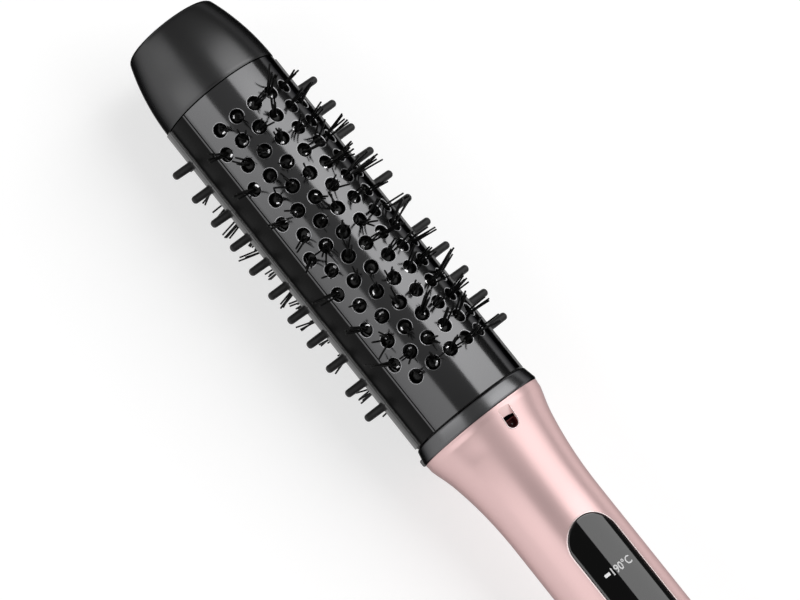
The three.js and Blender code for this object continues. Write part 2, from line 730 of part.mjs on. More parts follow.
// Joins rings of points into a wall that closes on itself.
function loft(rings) {
  const sides = rings[0].length;
  const index = [];
  rings.forEach((unused, row) => {
    const next = (row + 1) % rings.length;
    for (let i = 0; i < sides; i += 1) {
      const j = (i + 1) % sides;
      index.push(row * sides + i, row * sides + j, next * sides + i);
      index.push(row * sides + j, next * sides + j, next * sides + i);
    }
  });
  const geometry = new THREE.BufferGeometry().setFromPoints(rings.flat());
  geometry.setIndex(index);
  return outward(geometry);
}

function handleWall() {
  const mouth = SPACER_RADIUS + CLEARANCE;
  const mouthDepth = LOWER_SPACER_IN_HANDLE + CLEARANCE;
  const neck = neckCurve().getPoints(7).map((point) => [point.x, point.y]);
  const inner = neck.filter(([x]) => x < -mouthDepth - HANDLE_WALL);
  const grip = [[-FRONT_FLAT_TO, GRIP_RADIUS], [HANDLE_END, GRIP_RADIUS]];
  return loft([
    handleRing(0, HANDLE_MOUTH_RADIUS),
    ...[...neck, ...grip].map(([x, radius]) => handleRing(x, radius)),
    ...[...inner, ...grip].reverse().map(([x, radius]) => handleRing(x, radius, HANDLE_WALL)),
    handleRing(-mouthDepth, mouth),
    handleRing(0, mouth),
  ]);
}

function outletPlan(inset) {
  const radius = OUTLET_WIDTH / 2;
  const straight = 2 * (OUTLET_TO - OUTLET_FROM);
  return shapeAt(capsule(straight, 0, radius - inset, SLOT_CORNERS), -OUTLET_FROM + radius, 0);
}

function outletFloor() {
  return outerRadius(-OUTLET_FROM) - OUTLET_RAMP_DROP;
}

// The outlet's recess slopes down from the collar to the nozzle.
function outletRecess() {
  const top = HANDLE_SHOULDER_RADIUS + CUT_MARGIN;
  const side = new THREE.Shape([
    new THREE.Vector2(-OUTLET_FROM, top),
    new THREE.Vector2(-OUTLET_FROM, outerRadius(-OUTLET_FROM)),
    new THREE.Vector2(-OUTLET_RAMP_TO, outletFloor()),
    new THREE.Vector2(-OUTLET_RAMP_TO, SPIGOT_RADIUS),
    new THREE.Vector2(-OUTLET_TO - CUT_MARGIN, SPIGOT_RADIUS),
    new THREE.Vector2(-OUTLET_TO - CUT_MARGIN, top),
  ]);
  return common(acrossY(side, OUTLET_WIDTH + CUT_MARGIN), alongZ(outletPlan(0), SPIGOT_RADIUS, top));
}

function windowOutline(inset) {
  const radius = WINDOW_WIDTH / 2;
  const straight = WINDOW_TOP - WINDOW_END - WINDOW_WIDTH;
  return shapeAt(capsule(straight, 0, radius - inset), (WINDOW_TOP + WINDOW_END) / 2, 0);
}

function handleShell() {
  const opening = alongZ(windowOutline(-CLEARANCE), 0, GRIP_RADIUS + CUT_MARGIN);
  return cut(handleWall(), opening, outletRecess());
}

// Ion outlet: a nozzle in the neck, its needle, and the generator in the chassis

function nozzle() {
  const top = outletFloor();
  const bottom = SPIGOT_RADIUS + CLEARANCE;
  const body = alongZ(outletPlan(CLEARANCE), bottom, top);
  const rampSide = box(
    [-OUTLET_RAMP_TO - CLEARANCE, -OUTLET_WIDTH, bottom - CUT_MARGIN],
    [2 * OUTLET_TO, OUTLET_WIDTH, top + CUT_MARGIN],
  );
  const bore = rod(NOZZLE_BORE, top - NOZZLE_BORE_DEPTH, top + CUT_MARGIN).translate(nozzlePlace(), 0, 0);
  return cut(body, rampSide, bore);
}

function nozzlePlace() {
  return -(OUTLET_RAMP_TO + OUTLET_TO) / 2;
}

function needle() {
  const radius = NEEDLE_DIAMETER / 2;
  const bottom = outletFloor() - NOZZLE_BORE_DEPTH + CLEARANCE;
  return turned([[0, 0], [0, radius], [NEEDLE_LENGTH - 2 * radius, radius], [NEEDLE_LENGTH, 0]], 6)
    .translate(nozzlePlace(), 0, bottom);
}

function ionGenerator() {
  const floor = CHASSIS_RADIUS - CHASSIS_WALL - CLEARANCE;
  const bottom = -Math.sqrt(floor ** 2 - (ION_BLOCK_WIDTH / 2) ** 2);
  return box(
    [-ION_BLOCK_FROM - ION_BLOCK_LENGTH, -ION_BLOCK_WIDTH / 2, bottom],
    [-ION_BLOCK_FROM, ION_BLOCK_WIDTH / 2, bottom + ION_BLOCK_HEIGHT],
  );
}

// Chassis: a trough under the board, with a socket round the barrel's spigot

function troughSection() {
  const rim = BOARD_TOP - BOARD_THICKNESS - CLEARANCE;
  const inner = CHASSIS_RADIUS - CHASSIS_WALL;
  const angles = (radius) => arcAngles(Math.acos(rim / radius), 2 * Math.PI - Math.acos(rim / radius), 16);
  return new THREE.Shape([
    ...angles(CHASSIS_RADIUS).map((angle) => polar(CHASSIS_RADIUS, angle)),
    ...angles(inner).reverse().map((angle) => polar(inner, angle)),
  ]);
}

function boardScrewPlaces() {
  return [BOARD_START - RIB_LENGTH / 2, BOARD_END + RIB_LENGTH / 2];
}

function chassisRib(x) {
  const top = BOARD_TOP - BOARD_THICKNESS - CLEARANCE;
  const half = RIB_LENGTH / 2;
  const rib = box([x - half, -CHASSIS_RADIUS, top - RIB_HEIGHT], [x + half, CHASSIS_RADIUS, top]);
  const round = CHASSIS_RADIUS - CHASSIS_WALL / 2;
  const [from, to] = [x - RIB_LENGTH, x + RIB_LENGTH];
  const limit = revolve([[from, 0], [from, round], [to, round], [to, 0]]);
  return common(rib, limit);
}

function screwHole(x, from, to) {
  return rod(SCREW_SHAFT_DIAMETER + 2 * CLEARANCE, from, to).translate(x, 0, 0);
}

function socketScrewPlace() {
  return -LOWER_SPACER_IN_HANDLE - SPIGOT_LENGTH / 2;
}

// The radius at which the socket screws' heads sit, in their recesses.
function socketScrewSeat() {
  return SPIGOT_RADIUS + SOCKET_WALL - SOCKET_SCREW_RECESS + 2 * CLEARANCE;
}

function socketScrewHoles() {
  const reach = SPIGOT_RADIUS + SOCKET_WALL + CUT_MARGIN * 2;
  const recess = rod(SCREW_HEAD_DIAMETER + 2 * CLEARANCE, socketScrewSeat() - CLEARANCE, reach);
  const stepped = join(screwHole(0, SPIGOT_RADIUS - SPIGOT_WALL + CLEARANCE, reach), recess);
  return [1, -1].map((side) => stepped.clone()
    .rotateX(-side * Math.PI / 2)
    .translate(socketScrewPlace(), 0, 0));
}

function chassis() {
  const socketInner = SPIGOT_RADIUS + CLEARANCE;
  const socketOuter = socketInner + SOCKET_WALL;
  const troughEnd = -LOWER_SPACER_IN_HANDLE - SPIGOT_LENGTH - CLEARANCE;
  const socketFrom = troughEnd - CUT_MARGIN;
  const socketTo = -OUTLET_TO - SOCKET_BELOW_OUTLET;
  const socket = revolve(closed([
    [socketFrom, socketInner], [socketTo, socketInner], [socketTo, socketOuter], [socketFrom, socketOuter],
  ]), INNER_SIDES);
  const trough = alongX(troughSection(), TROUGH_START, troughEnd);
  const ribs = boardScrewPlaces().map(chassisRib);
  const tip = BOARD_TOP - BOARD_SCREW_LENGTH - BOARD_THICKNESS;
  const holes = boardScrewPlaces().map((x) => screwHole(x, tip, BOARD_TOP));
  return cut(join(trough, socket, ...ribs), ...holes, ...socketScrewHoles());
}

function board() {
  const half = BOARD_WIDTH / 2;
  const plain = box([BOARD_END, -half, BOARD_TOP - BOARD_THICKNESS], [BOARD_START, half, BOARD_TOP]);
  return cut(plain, ...boardScrewPlaces().map((x) => screwHole(x, 0, BOARD_TOP + CUT_MARGIN)));
}

function screw(length) {
  const shaft = SCREW_SHAFT_DIAMETER / 2;
  const head = SCREW_HEAD_DIAMETER / 2;
  const dome = SCREW_HEAD_HEIGHT / 2;
  return turned([
    [-length, 0], [-length, shaft], [0, shaft], [0, head],
    [dome, head], [SCREW_HEAD_HEIGHT, head - dome], [SCREW_HEAD_HEIGHT, 0],
  ]);
}

// Window, its carrier, the buttons and what they press

function windowLens() {
  const half = WINDOW_WIDTH / 2;
  const crown = arcAngles(-1, 1, 8).map((part) => {
    const y = part * (half + CUT_MARGIN);
    const drop = WINDOW_CROWN_RADIUS - Math.sqrt(WINDOW_CROWN_RADIUS ** 2 - y ** 2);
    return new THREE.Vector2(y, FRONT_DEPTH - drop);
  });
  const section = new THREE.Shape([
    new THREE.Vector2(half + CUT_MARGIN, WINDOW_BOTTOM),
    ...crown.reverse(),
    new THREE.Vector2(-half - CUT_MARGIN, WINDOW_BOTTOM),
  ]);
  const blank = alongX(section, WINDOW_END - CUT_MARGIN, WINDOW_TOP + CUT_MARGIN);
  const outline = alongZ(windowOutline(0), WINDOW_BOTTOM - CUT_MARGIN, FRONT_DEPTH + CUT_MARGIN);
  const pockets = buttonPrisms(CLEARANCE, WINDOW_BOTTOM - CUT_MARGIN, FRONT_DEPTH + CUT_MARGIN);
  return cut(common(blank, outline), ...pockets);
}

function buttonOutline(kind, growth) {
  if (kind === 'power') return capsule(0, 0, POWER_BUTTON_DIAMETER / 2 + growth, BUTTON_CORNERS);
  return capsule(0, TEMP_BUTTON_WIDTH - TEMP_BUTTON_HEIGHT, TEMP_BUTTON_HEIGHT / 2 + growth, BUTTON_CORNERS);
}

const BUTTONS = [
  { name: 'temp_up', kind: 'temp', x: TEMP_UP_PLACE },
  { name: 'temp_down', kind: 'temp', x: TEMP_DOWN_PLACE },
  { name: 'power', kind: 'power', x: POWER_PLACE },
];

function buttonPrisms(growth, from, to) {
  return BUTTONS.map(({ kind, x }) => alongZ(shapeAt(buttonOutline(kind, growth), x, 0), from, to));
}

function button(kind) {
  const flangeTop = CARRIER_TOP;
  const cap = alongZ(buttonOutline(kind, 0), flangeTop - BUTTON_FLANGE_THICKNESS, FRONT_DEPTH + BUTTON_PROUD);
  const flange = alongZ(buttonOutline(kind, BUTTON_FLANGE), flangeTop - BUTTON_FLANGE_THICKNESS, flangeTop);
  return join(cap, flange);
}

function windowCarrier() {
  const bottom = BOARD_TOP + CLEARANCE;
  const body = alongZ(windowOutline(WINDOW_CARRIER_INSET), bottom, CARRIER_TOP);
  const wells = buttonPrisms(BUTTON_FLANGE + CLEARANCE, bottom - CUT_MARGIN, CARRIER_TOP + CUT_MARGIN);
  const lightWells = [HIGH_LABEL, LOW_LABEL].map((x) => lightGuideBlock(x, CLEARANCE, CUT_MARGIN));
  return cut(body, ...wells, ...lightWells);
}

function lightGuideBlock(x, growth, longer) {
  const halfX = LIGHT_GUIDE_LENGTH / 2 + growth;
  const halfY = LIGHT_GUIDE_WIDTH / 2 + growth;
  return box(
    [x - halfX, LIGHT_GUIDE_OFFSET - halfY, BOARD_TOP + CLEARANCE - longer],
    [x + halfX, LIGHT_GUIDE_OFFSET + halfY, CARRIER_TOP + longer],
  );
}

function tactSwitch() {
  const bottom = BOARD_TOP + CLEARANCE;
  const half = SWITCH_SIZE / 2;
  const top = bottom + SWITCH_HEIGHT;
  const plunger = rod(PLUNGER_DIAMETER, top - CUT_MARGIN, PLUNGER_TOP);
  return join(box([-half, -half, bottom], [half, half, top]), plunger);
}

// End cap, cord swivel and its retainer

function endCap() {
  const seat = PLUG_END - SWIVEL_SEAT_DEPTH;
  const sleeve = SWIVEL_SLEEVE_DIAMETER / 2 + CLEARANCE;
  const flange = SWIVEL_FLANGE_DIAMETER / 2 + CLEARANCE;
  const rim = HANDLE_END - CLEARANCE;
  const round = END_CAP_CORNER_RADIUS;
  const corner = quarter(END_CAP_FACE + round, -round, round, Math.PI / 2)
    .reverse()
    .map(([x, depth]) => handleRing(x, GRIP_RADIUS, -depth));
  const body = loft([
    circleRing(END_CAP_FACE, sleeve),
    ...corner,
    handleRing(rim, GRIP_RADIUS),
    handleRing(rim, GRIP_RADIUS, HANDLE_WALL + CLEARANCE),
    handleRing(PLUG_END, GRIP_RADIUS, HANDLE_WALL + CLEARANCE),
    circleRing(PLUG_END, flange),
    circleRing(seat, flange),
    circleRing(seat, sleeve),
  ]);
  return cut(body, ...retainerScrewHoles());
}

function retainerScrewOffset() {
  return (SWIVEL_FLANGE_DIAMETER / 2 + CLEARANCE + CHASSIS_RADIUS) / 2;
}

function retainerScrewHoles() {
  const radius = SCREW_SHAFT_DIAMETER / 2 + CLEARANCE;
  const from = RETAINER_SCREW_SEAT - RETAINER_SCREW_LENGTH - CLEARANCE;
  const to = RETAINER_END + CUT_MARGIN;
  return [1, -1].map((side) => revolve([[from, 0], [from, radius], [to, radius], [to, 0]], SMALL_SIDES)
    .translate(0, side * retainerScrewOffset(), 0));
}

function cordSwivel() {
  const seat = PLUG_END - SWIVEL_SEAT_DEPTH;
  const sleeve = SWIVEL_SLEEVE_DIAMETER / 2;
  const flange = SWIVEL_FLANGE_DIAMETER / 2;
  const flangeFrom = seat + CLEARANCE;
  const flangeTo = seat + SWIVEL_FLANGE_THICKNESS;
  const bore = CORD_BORE_DIAMETER / 2;
  const tip = GLAND_TIP_DIAMETER / 2;
  const round = GLAND_CORNER_RADIUS;
  const corner = quarter(GLAND_END + round, tip - round, round, Math.PI / 2).reverse();
  return revolve(closed([
    [GLAND_END, bore], ...corner, [END_CAP_FACE - CLEARANCE, sleeve], [flangeFrom, sleeve],
    [flangeFrom, flange], [flangeTo, flange], [flangeTo, bore],
  ]), INNER_SIDES);
}

function swivelRetainer() {
  const bore = CORD_BORE_DIAMETER / 2;
  const disc = loft([
    circleRing(RETAINER_START, bore),
    handleRing(RETAINER_START, GRIP_RADIUS, HANDLE_WALL + CLEARANCE),
    handleRing(RETAINER_END, GRIP_RADIUS, HANDLE_WALL + CLEARANCE),
    circleRing(RETAINER_END, bore),
  ]);
  return cut(disc, ...retainerScrewHoles());
}

// Assembly

function finish(color, roughness, metalness = 0) {
  return new THREE.MeshStandardMaterial({ color, roughness, metalness, flatShading: true });
}

const glossBlack = finish(0x16161a, 0.15, 0.2);
const satinBlack = finish(0x2b2b2d, 0.5);
const collarGrey = finish(0x3c3c3e, 0.4, 0.4);
const roseGold = finish(0xcda8a4, 0.35, 0.6);
const bristleBlack = finish(0x101012, 0.35);
const aluminium = finish(0xb5b7ba, 0.4, 0.9);
const heatResin = finish(0x5b4636, 0.7);
const ceramic = finish(0xd9d4c8, 0.8);
const boardGreen = finish(0x1f5a3a, 0.6);
const steel = finish(0xa8a9ab, 0.3, 1);
const clearResin = finish(0xe8e8e8, 0.1);
const pottedRed = finish(0x5a1712, 0.5);

const brush = new THREE.Group();

function place(name, geometry, material, position = [0, 0, 0], rotation = [0, 0, 0]) {
  const mesh = new THREE.Mesh(geometry, material);
  mesh.name = name;
  mesh.position.set(...position);
  mesh.rotation.set(...rotation);
  brush.add(mesh);
}

const perforated = plate();
place('front_plate', perforated, glossBlack);
place('back_plate', perforated, glossBlack, [0, 0, 0], [Math.PI, 0, 0]);
place('front_bristles', bristleSet(17), bristleBlack);
place('back_bristles', restingBristles(), bristleBlack, [0, 0, 0], [Math.PI, 0, 0]);

const strip = pinStrip();
place('left_pin_strip', strip, satinBlack, [0, 0, 0], [-Math.PI / 2, 0, 0]);
place('right_pin_strip', strip, satinBlack, [0, 0, 0], [Math.PI / 2, 0, 0]);

const heatSpreader = spreader();
place('front_heat_spreader', heatSpreader, aluminium);
place('back_heat_spreader', heatSpreader, aluminium, [0, 0, 0], [Math.PI, 0, 0]);
place('ceramic_heater', heater(), ceramic);
place('thermal_fuse', thermalFuse(), steel);
place('upper_spacer', upperSpacer(), heatResin);
place('lower_spacer', lowerSpacer(), heatResin);
place('tip_cap', tipCap(), satinBlack);
place('collar', collar(), collarGrey);

place('handle_shell', handleShell(), roseGold);
place('inner_chassis', chassis(), satinBlack);
place('circuit_board', board(), boardGreen);
place('display_window', windowLens(), glossBlack);
place('window_carrier', windowCarrier(), satinBlack);
place('high_light_guide', lightGuideBlock(HIGH_LABEL, 0, 0), clearResin);
place('low_light_guide', lightGuideBlock(LOW_LABEL, 0, 0), clearResin);
place('ion_nozzle', nozzle(), pottedRed);
place('ion_needle', needle(), steel);
place('ion_generator', ionGenerator(), pottedRed);

BUTTONS.forEach(({ name, kind, x }) => {
  place(`${name}_button`, button(kind), satinBlack, [x, 0, 0]);
  place(`${name}_switch`, tactSwitch(), steel, [x, 0, 0]);
});

const boardScrewSeat = BOARD_TOP + CLEARANCE;
place('upper_board_screw', screw(BOARD_SCREW_LENGTH), steel, [boardScrewPlaces()[0], 0, boardScrewSeat]);
place('lower_board_screw', screw(BOARD_SCREW_LENGTH), steel, [boardScrewPlaces()[1], 0, boardScrewSeat]);

const socketScrew = screw(SOCKET_SCREW_LENGTH);
[['left', 1], ['right', -1]].forEach(([name, side]) => {
  const seat = [socketScrewPlace(), side * socketScrewSeat(), 0];
  place(`${name}_socket_screw`, socketScrew, steel, seat, [-side * Math.PI / 2, 0, 0]);
});

place('end_cap', endCap(), collarGrey);
place('cord_swivel', cordSwivel(), satinBlack);
place('swivel_retainer', swivelRetainer(), satinBlack);

const retainerScrew = screw(RETAINER_SCREW_LENGTH);
[['left', 1], ['right', -1]].forEach(([name, side]) => {
  const seat = [RETAINER_SCREW_SEAT, side * retainerScrewOffset(), 0];
  place(`${name}_retainer_screw`, retainerScrew, steel, seat, [0, Math.PI / 2, 0]);
});

brush.position.set(-(TIP + GLAND_END) / 2, 0, BRISTLE_REACH - REST_FLAT_DEPTH);

export default brush;
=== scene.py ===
import json
import math
import random
import bpy
import bmesh
from mathutils import Matrix, Vector


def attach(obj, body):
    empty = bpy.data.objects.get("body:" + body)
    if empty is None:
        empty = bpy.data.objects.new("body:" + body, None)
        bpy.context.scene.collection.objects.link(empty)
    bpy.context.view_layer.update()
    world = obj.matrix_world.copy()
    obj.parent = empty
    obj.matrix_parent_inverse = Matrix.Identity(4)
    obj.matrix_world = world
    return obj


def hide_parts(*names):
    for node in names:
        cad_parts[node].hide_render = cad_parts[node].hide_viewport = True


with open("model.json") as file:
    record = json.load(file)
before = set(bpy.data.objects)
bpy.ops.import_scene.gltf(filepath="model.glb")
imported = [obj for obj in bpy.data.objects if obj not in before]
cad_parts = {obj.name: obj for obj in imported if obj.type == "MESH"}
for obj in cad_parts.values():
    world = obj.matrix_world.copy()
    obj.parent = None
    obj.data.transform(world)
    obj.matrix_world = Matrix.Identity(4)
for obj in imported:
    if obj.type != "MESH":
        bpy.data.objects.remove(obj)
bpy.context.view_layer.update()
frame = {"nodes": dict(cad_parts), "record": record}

# Sizes are in millimetres from the seam between handle and collar, as on the drawing. x runs
# towards the tip, and z from the brush's axis towards its front. place() brings a finished
# shape to the row frame, which is in metres and has the floor at zero.
AXIS_HEIGHT = 30.5
ROW_ORIGIN = Vector((-3.15, 0.0, AXIS_HEIGHT))
TO_ROW = Matrix.Scale(0.001, 4) @ Matrix.Translation(ROW_ORIGIN)

# Barrel plates. Sizes across a plate are arcs round the barrel.
BARREL_RADIUS = 22.5
PLATE_START, PLATE_END = 6.0, 143.0
PLATE_WALL = 1.3
PLATE_EDGE = 33.04
FIRST_ROW, ROW_PITCH, ROWS = 24.1, 7.6, 15
COLUMN_PITCH = 7.58
HOLE_RADIUS = 2.5
HOLE_EASING = 0.28
HOLES_WITHIN = 22.0
GROOVE_FROM, GROOVE_TO = 22.15, 22.65
GROOVE_DEPTH = 0.35
BAND_START = 23.3

# The grid that a plate starts from: cells to a pitch, cells from a hole's centre to its edge,
# columns from the middle to the plate's edge, and lines below and above the first row.
CELLS = 12
HOLE_CELLS = 4
EDGE_COLUMN = 52
LINES_BELOW, LINES_ABOVE = 29, 188
FITTED_COLUMNS = {35: GROOVE_FROM, 36: GROOVE_TO, 37: BAND_START, EDGE_COLUMN: PLATE_EDGE}

# Bristles
CARRIER_RADIUS = 20.4
CARRIER_INNER_RADIUS = 19.4
CARRIER_START, CARRIER_END = 12.3, 136.7
CARRIER_HALF_ANGLE = math.radians(53.1)
CARRIER_EASING = 0.3
CORE_DOME = [(19.9, 2.3), (20.2, 2.3), (20.6, 2.2), (20.95, 1.8), (21.15, 1.0), (21.2, 0.0)]
STRAND_FOOT = 20.9
STRAND_FOOT_RADIUS, STRAND_TIP_RADIUS = 0.38, 0.33
BRISTLE_REACH = 31.0
FLOOR_CLEARANCE = 0.02

# Pin strips
RAIL_TOP, RAIL_HALF_WIDTH, RAIL_CORNER = 23.6, 2.0, 0.65
RAIL_FOOT_TOP, RAIL_FOOT_BOTTOM, RAIL_FOOT_HALF_WIDTH = 20.9, 19.2, 4.5
FIRST_PIN, PIN_PITCH, PINS = 24.1, 10.56, 11
PIN_PROFILE = [(22.9, 0.0), (22.9, 2.1), (23.5, 2.2), (23.72, 2.02), (23.95, 1.8), (24.3, 1.62),
               (24.8, 1.52), (27.5, 1.47), (30.5, 1.42), (30.88, 1.34), (31.22, 1.13),
               (31.47, 0.82), (31.58, 0.42), (31.6, 0.0)]

# Tip cap. Its flank is an arc that draws in by CAP_DRAW over CAP_DRAW_LENGTH.
CAP_START, CAP_TOP = 143.3, 172.6
CAP_RADIUS = BARREL_RADIUS + 0.25
CAP_CORNER = 2.3
CAP_DRAW, CAP_DRAW_LENGTH = 4.85, 28.1
CAP_WALL = 2.0

# Collar
COLLAR_START, COLLAR_END = 0.3, 5.7
COLLAR_RADIUS, COLLAR_BORE = 23.3, 21.0
REST_FOOT_SIZE = (2.7, 5.6, 4.4)
REST_FOOT_PLACE = (1.65, 0, 23.9)
REST_FOOT_ANGLE = math.radians(131)

# Handle. Distances of the lip and the flattened front are from the seam towards the grip.
GRIP_RADIUS = 18.0
MOUTH_RADIUS, MOUTH_END = 23.75, -0.8
NECK_END = -42.0
NECK_CURVE = [(MOUTH_END, MOUTH_RADIUS), (-11.0, 20.8), (-24.0, GRIP_RADIUS),
              (NECK_END, GRIP_RADIUS)]
LIP_FULLNESS, LIP_START, LIP_CREST, LIP_END = 0.42, 0.8, 3.4, 12.0
FRONT_FLATTENING, FLAT_START, FLAT_FULL = 0.5, 16.0, 46.0
HANDLE_WALL = 1.2
HANDLE_END = -150.0

# Ion outlet: a ramp from OUTLET_TOP down to OUTLET_STEP, then an opening with a round foot
OUTLET_HALF, OUTLET_Y = 2.3, -1.15
OUTLET_TOP, OUTLET_STEP, OUTLET_FOOT = -1.8, -6.3, -10.0
OUTLET_DEPTH = 2.8
NEEDLE_X = -8.2

# Window
WINDOW_TOP, WINDOW_BOTTOM = -46.4, -131.6
WINDOW_HALF_WIDTH = 9.5
WINDOW_MIDDLE = 0.5 * (WINDOW_TOP + WINDOW_BOTTOM)
WINDOW_STRAIGHT = WINDOW_TOP - WINDOW_BOTTOM - 2 * WINDOW_HALF_WIDTH
WINDOW_BACK, WINDOW_FRONT, WINDOW_CROWN = 13.05, 17.45, 18.0
WINDOW_GAP = 0.12

# Buttons: place, width along the handle, width across it (0 where it is round), and body
BUTTONS = {
    "temp_up_button": (-99.0, 7.0, 10.0, "temp_up"),
    "temp_down_button": (-110.5, 7.0, 10.0, "temp_down"),
    "power_button": (-122.0, 9.0, 0.0, "power"),
}
BUTTON_GAP = 0.3
BUTTON_HEIGHT = 0.7
PRINTS = ((-66.0, "190°C"), (-86.0, "150°C"))


# Shared shaping

def new_shape():
    return bmesh.new()


def new_mesh(name, shape):
    """The shape as a mesh. The shape itself is used up."""
    mesh = bpy.data.meshes.new(name)
    shape.to_mesh(mesh)
    shape.free()
    return mesh


def new_object(name, data):
    thing = bpy.data.objects.new(name, data)
    bpy.context.scene.collection.objects.link(thing)
    return thing


def place(name, shape, slot, finishes=(), body="brush_body", instead=(), sharp=35.0, normals=None):
    """Make a finished shape a piece of the brush. Its finish is its slot's, or others by name."""
    bmesh.ops.transform(shape, matrix=TO_ROW, verts=shape.verts)
    mesh = new_mesh(name, shape)
    mesh.shade_smooth()
    mesh.set_sharp_from_angle(angle=math.radians(sharp))
    if normals:
        mesh.normals_split_custom_set(normals(mesh))
    piece = new_object(name, mesh)
    for finish_name in finishes or [slot]:
        mesh.materials.append(FINISHES[finish_name])
    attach(piece, body)
    if instead:
        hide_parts(*instead)


def dress(node, shape, slot, finishes=(), **more):
    """Make a piece that stands for the CAD piece of that name."""
    place("dressed_" + node, shape, slot, finishes, instead=(node,), **more)


def on_drawing(vertex):
    """Where a placed vertex is on the drawing, in millimetres."""
    return vertex.co * 1000 - ROW_ORIGIN


def tidy(shape, distance=0.0005):
    bmesh.ops.remove_doubles(shape, verts=shape.verts, dist=distance)
    bmesh.ops.recalc_face_normals(shape, faces=shape.faces)
    return shape


def close_holes(shape):
    bmesh.ops.holes_fill(shape, edges=[e for e in shape.edges if e.is_boundary], sides=0)
    bmesh.ops.recalc_face_normals(shape, faces=shape.faces)
    return shape


def moved(shape, by=(0, 0, 0), turn=None):
    matrix = Matrix.Translation(by)
    if turn:
        matrix = matrix @ turn
    bmesh.ops.transform(shape, matrix=matrix, verts=shape.verts)
    return shape


def half_turned(shape):
    """The same shape on the other side of the axis."""
    return moved(shape, turn=Matrix.Rotation(math.pi, 4, "X"))


def raised(shape, outline, height):
    """A prism on a flat outline of points."""
    face = shape.faces.new([shape.verts.new(point) for point in outline])
    return raise_faces(shape, [face], height)


def raise_faces(shape, faces, height):
    grown = bmesh.ops.extrude_face_region(shape, geom=faces)
    moving = [v for v in grown["geom"] if isinstance(v, bmesh.types.BMVert)]
    bmesh.ops.translate(shape, verts=moving, vec=height)
    bmesh.ops.recalc_face_normals(shape, faces=shape.faces)
    return shape


def ease(shape, edges, width, steps):
    """Round the edges off, and give the new faces."""
    return bmesh.ops.bevel(shape, geom=edges, offset=width, offset_type="OFFSET", segments=steps,
                           profile=0.5, affect="EDGES", material=-1)["faces"]


def turned(section, steps, closed=False, axis=(1, 0, 0), start=None):
    """Turn a section of (along, radius) points about the axis."""
    shape = new_shape()
    along = Vector(axis)
    usual = Vector((0, 0, 1)) if abs(along.z) < 0.5 else Vector((1, 0, 0))
    out = Vector(start) if start else usual
    chain = [shape.verts.new(along * a + out * r) for a, r in section]
    pairs = list(zip(chain, chain[1:])) + ([(chain[-1], chain[0])] if closed else [])
    edges = [shape.edges.new(pair) for pair in pairs]
    bmesh.ops.spin(shape, geom=chain + edges, cent=(0, 0, 0), axis=along, angle=2 * math.pi,
                   steps=steps, use_merge=True)
    return tidy(shape)


def half_step(steps):
    """A starting side for a turned shape, so that no vertex lies in the middle plane."""
    return (math.cos(math.pi / steps), math.sin(math.pi / steps), 0)


def oval(section, straight, steps, along=(1, 0, 0)):
    """Turn a section of (radius, z) points about Z, then pull its two halves apart: a capsule."""
    shape = turned([(z, r) for r, z in section], steps, axis=(0, 0, 1), start=half_step(steps))
    direction = Vector(along)
    for v in shape.verts:
        side = v.co.dot(direction)
        if abs(side) > 1e-6:
            v.co += direction * math.copysign(0.5 * straight, side)
    return close_holes(shape)


def rounded(points, radius, steps):
    """A section with the corners given in `radius` (by index) turned into arcs."""
    out = []
    for i, p in enumerate(points):
        r = radius.get(i, 0.0)
        if not r:
            out.append(p)
            continue
        here = Vector(p)
        before = Vector(points[i - 1]) - here
        after = Vector(points[(i + 1) % len(points)]) - here
        a, b = before.normalized(), after.normalized()
        half = 0.5 * a.angle(b)
        reach = min(r / math.tan(half), 0.49 * before.length, 0.49 * after.length)
        r = reach * math.tan(half)
        centre = here + (a + b).normalized() * (r / math.sin(half))
        first, last = here + a * reach - centre, here + b * reach - centre
        out += [tuple(centre + first.slerp(last, k / steps)) for k in range(steps + 1)]
    return out


def joined(*shapes):
    """Put several shapes into the first one."""
    whole = shapes[0]
    for extra in shapes[1:]:
        mesh = new_mesh("joining", extra)
        whole.from_mesh(mesh)
        bpy.data.meshes.remove(mesh)
    return whole


def cut(shape, *cutters):
    """Take the cutters away from the shape."""
    made = [new_object("cutting", new_mesh("cutting", each)) for each in (shape,) + cutters]
    for cutter in made[1:]:
        step = made[0].modifiers.new("cut", "BOOLEAN")
        step.operation = "DIFFERENCE"
        step.solver = "EXACT"
        step.object = cutter
    bpy.context.view_layer.update()
    seen = made[0].evaluated_get(bpy.context.evaluated_depsgraph_get())
    result = bpy.data.meshes.new_from_object(seen)
    whole = new_shape()
    whole.from_mesh(result)
    for thing in made:
        mesh = thing.data
        bpy.data.objects.remove(thing)
        bpy.data.meshes.remove(mesh)
    bpy.data.meshes.remove(result)
    return whole


def smoothstep(value, low, high):
    t = min(max((value - low) / (high - low), 0.0), 1.0)
    return t * t * (3 - 2 * t)


def fan(whole, steps):
    """Values from zero to the whole, in equal steps."""
    return [whole * i / steps for i in range(steps + 1)]


# Finishes

# Every finish by its name. A CAD piece has the finish that is named as its slot.
FINISHES = {}


def grey(level):
    return (level, level, level)


def feed(tree, node, inputs):
    """Give a node's inputs their values. An output in place of a value is linked."""
    for name, value in inputs.items():
        if isinstance(value, bpy.types.NodeSocket):
            tree.links.new(value, node.inputs[name])
        else:
            node.inputs[name].default_value = value


def add_node(tree, kind, inputs):
    node = tree.nodes.new("ShaderNode" + kind)
    feed(tree, node, inputs)
    return node


def worked_out(tree, operation, *values, clamped=False):
    """The output of a sum or a product."""
    node = add_node(tree, "Math", dict(enumerate(values)))
    node.operation = operation
    node.use_clamp = clamped
    return node.outputs["Value"]


def blend(tree, share, one, other):
    """The output of a mix of two colours."""
    node = add_node(tree, "Mix", {0: share, 6: one, 7: other})
    node.data_type = "RGBA"
    return node.outputs[2]


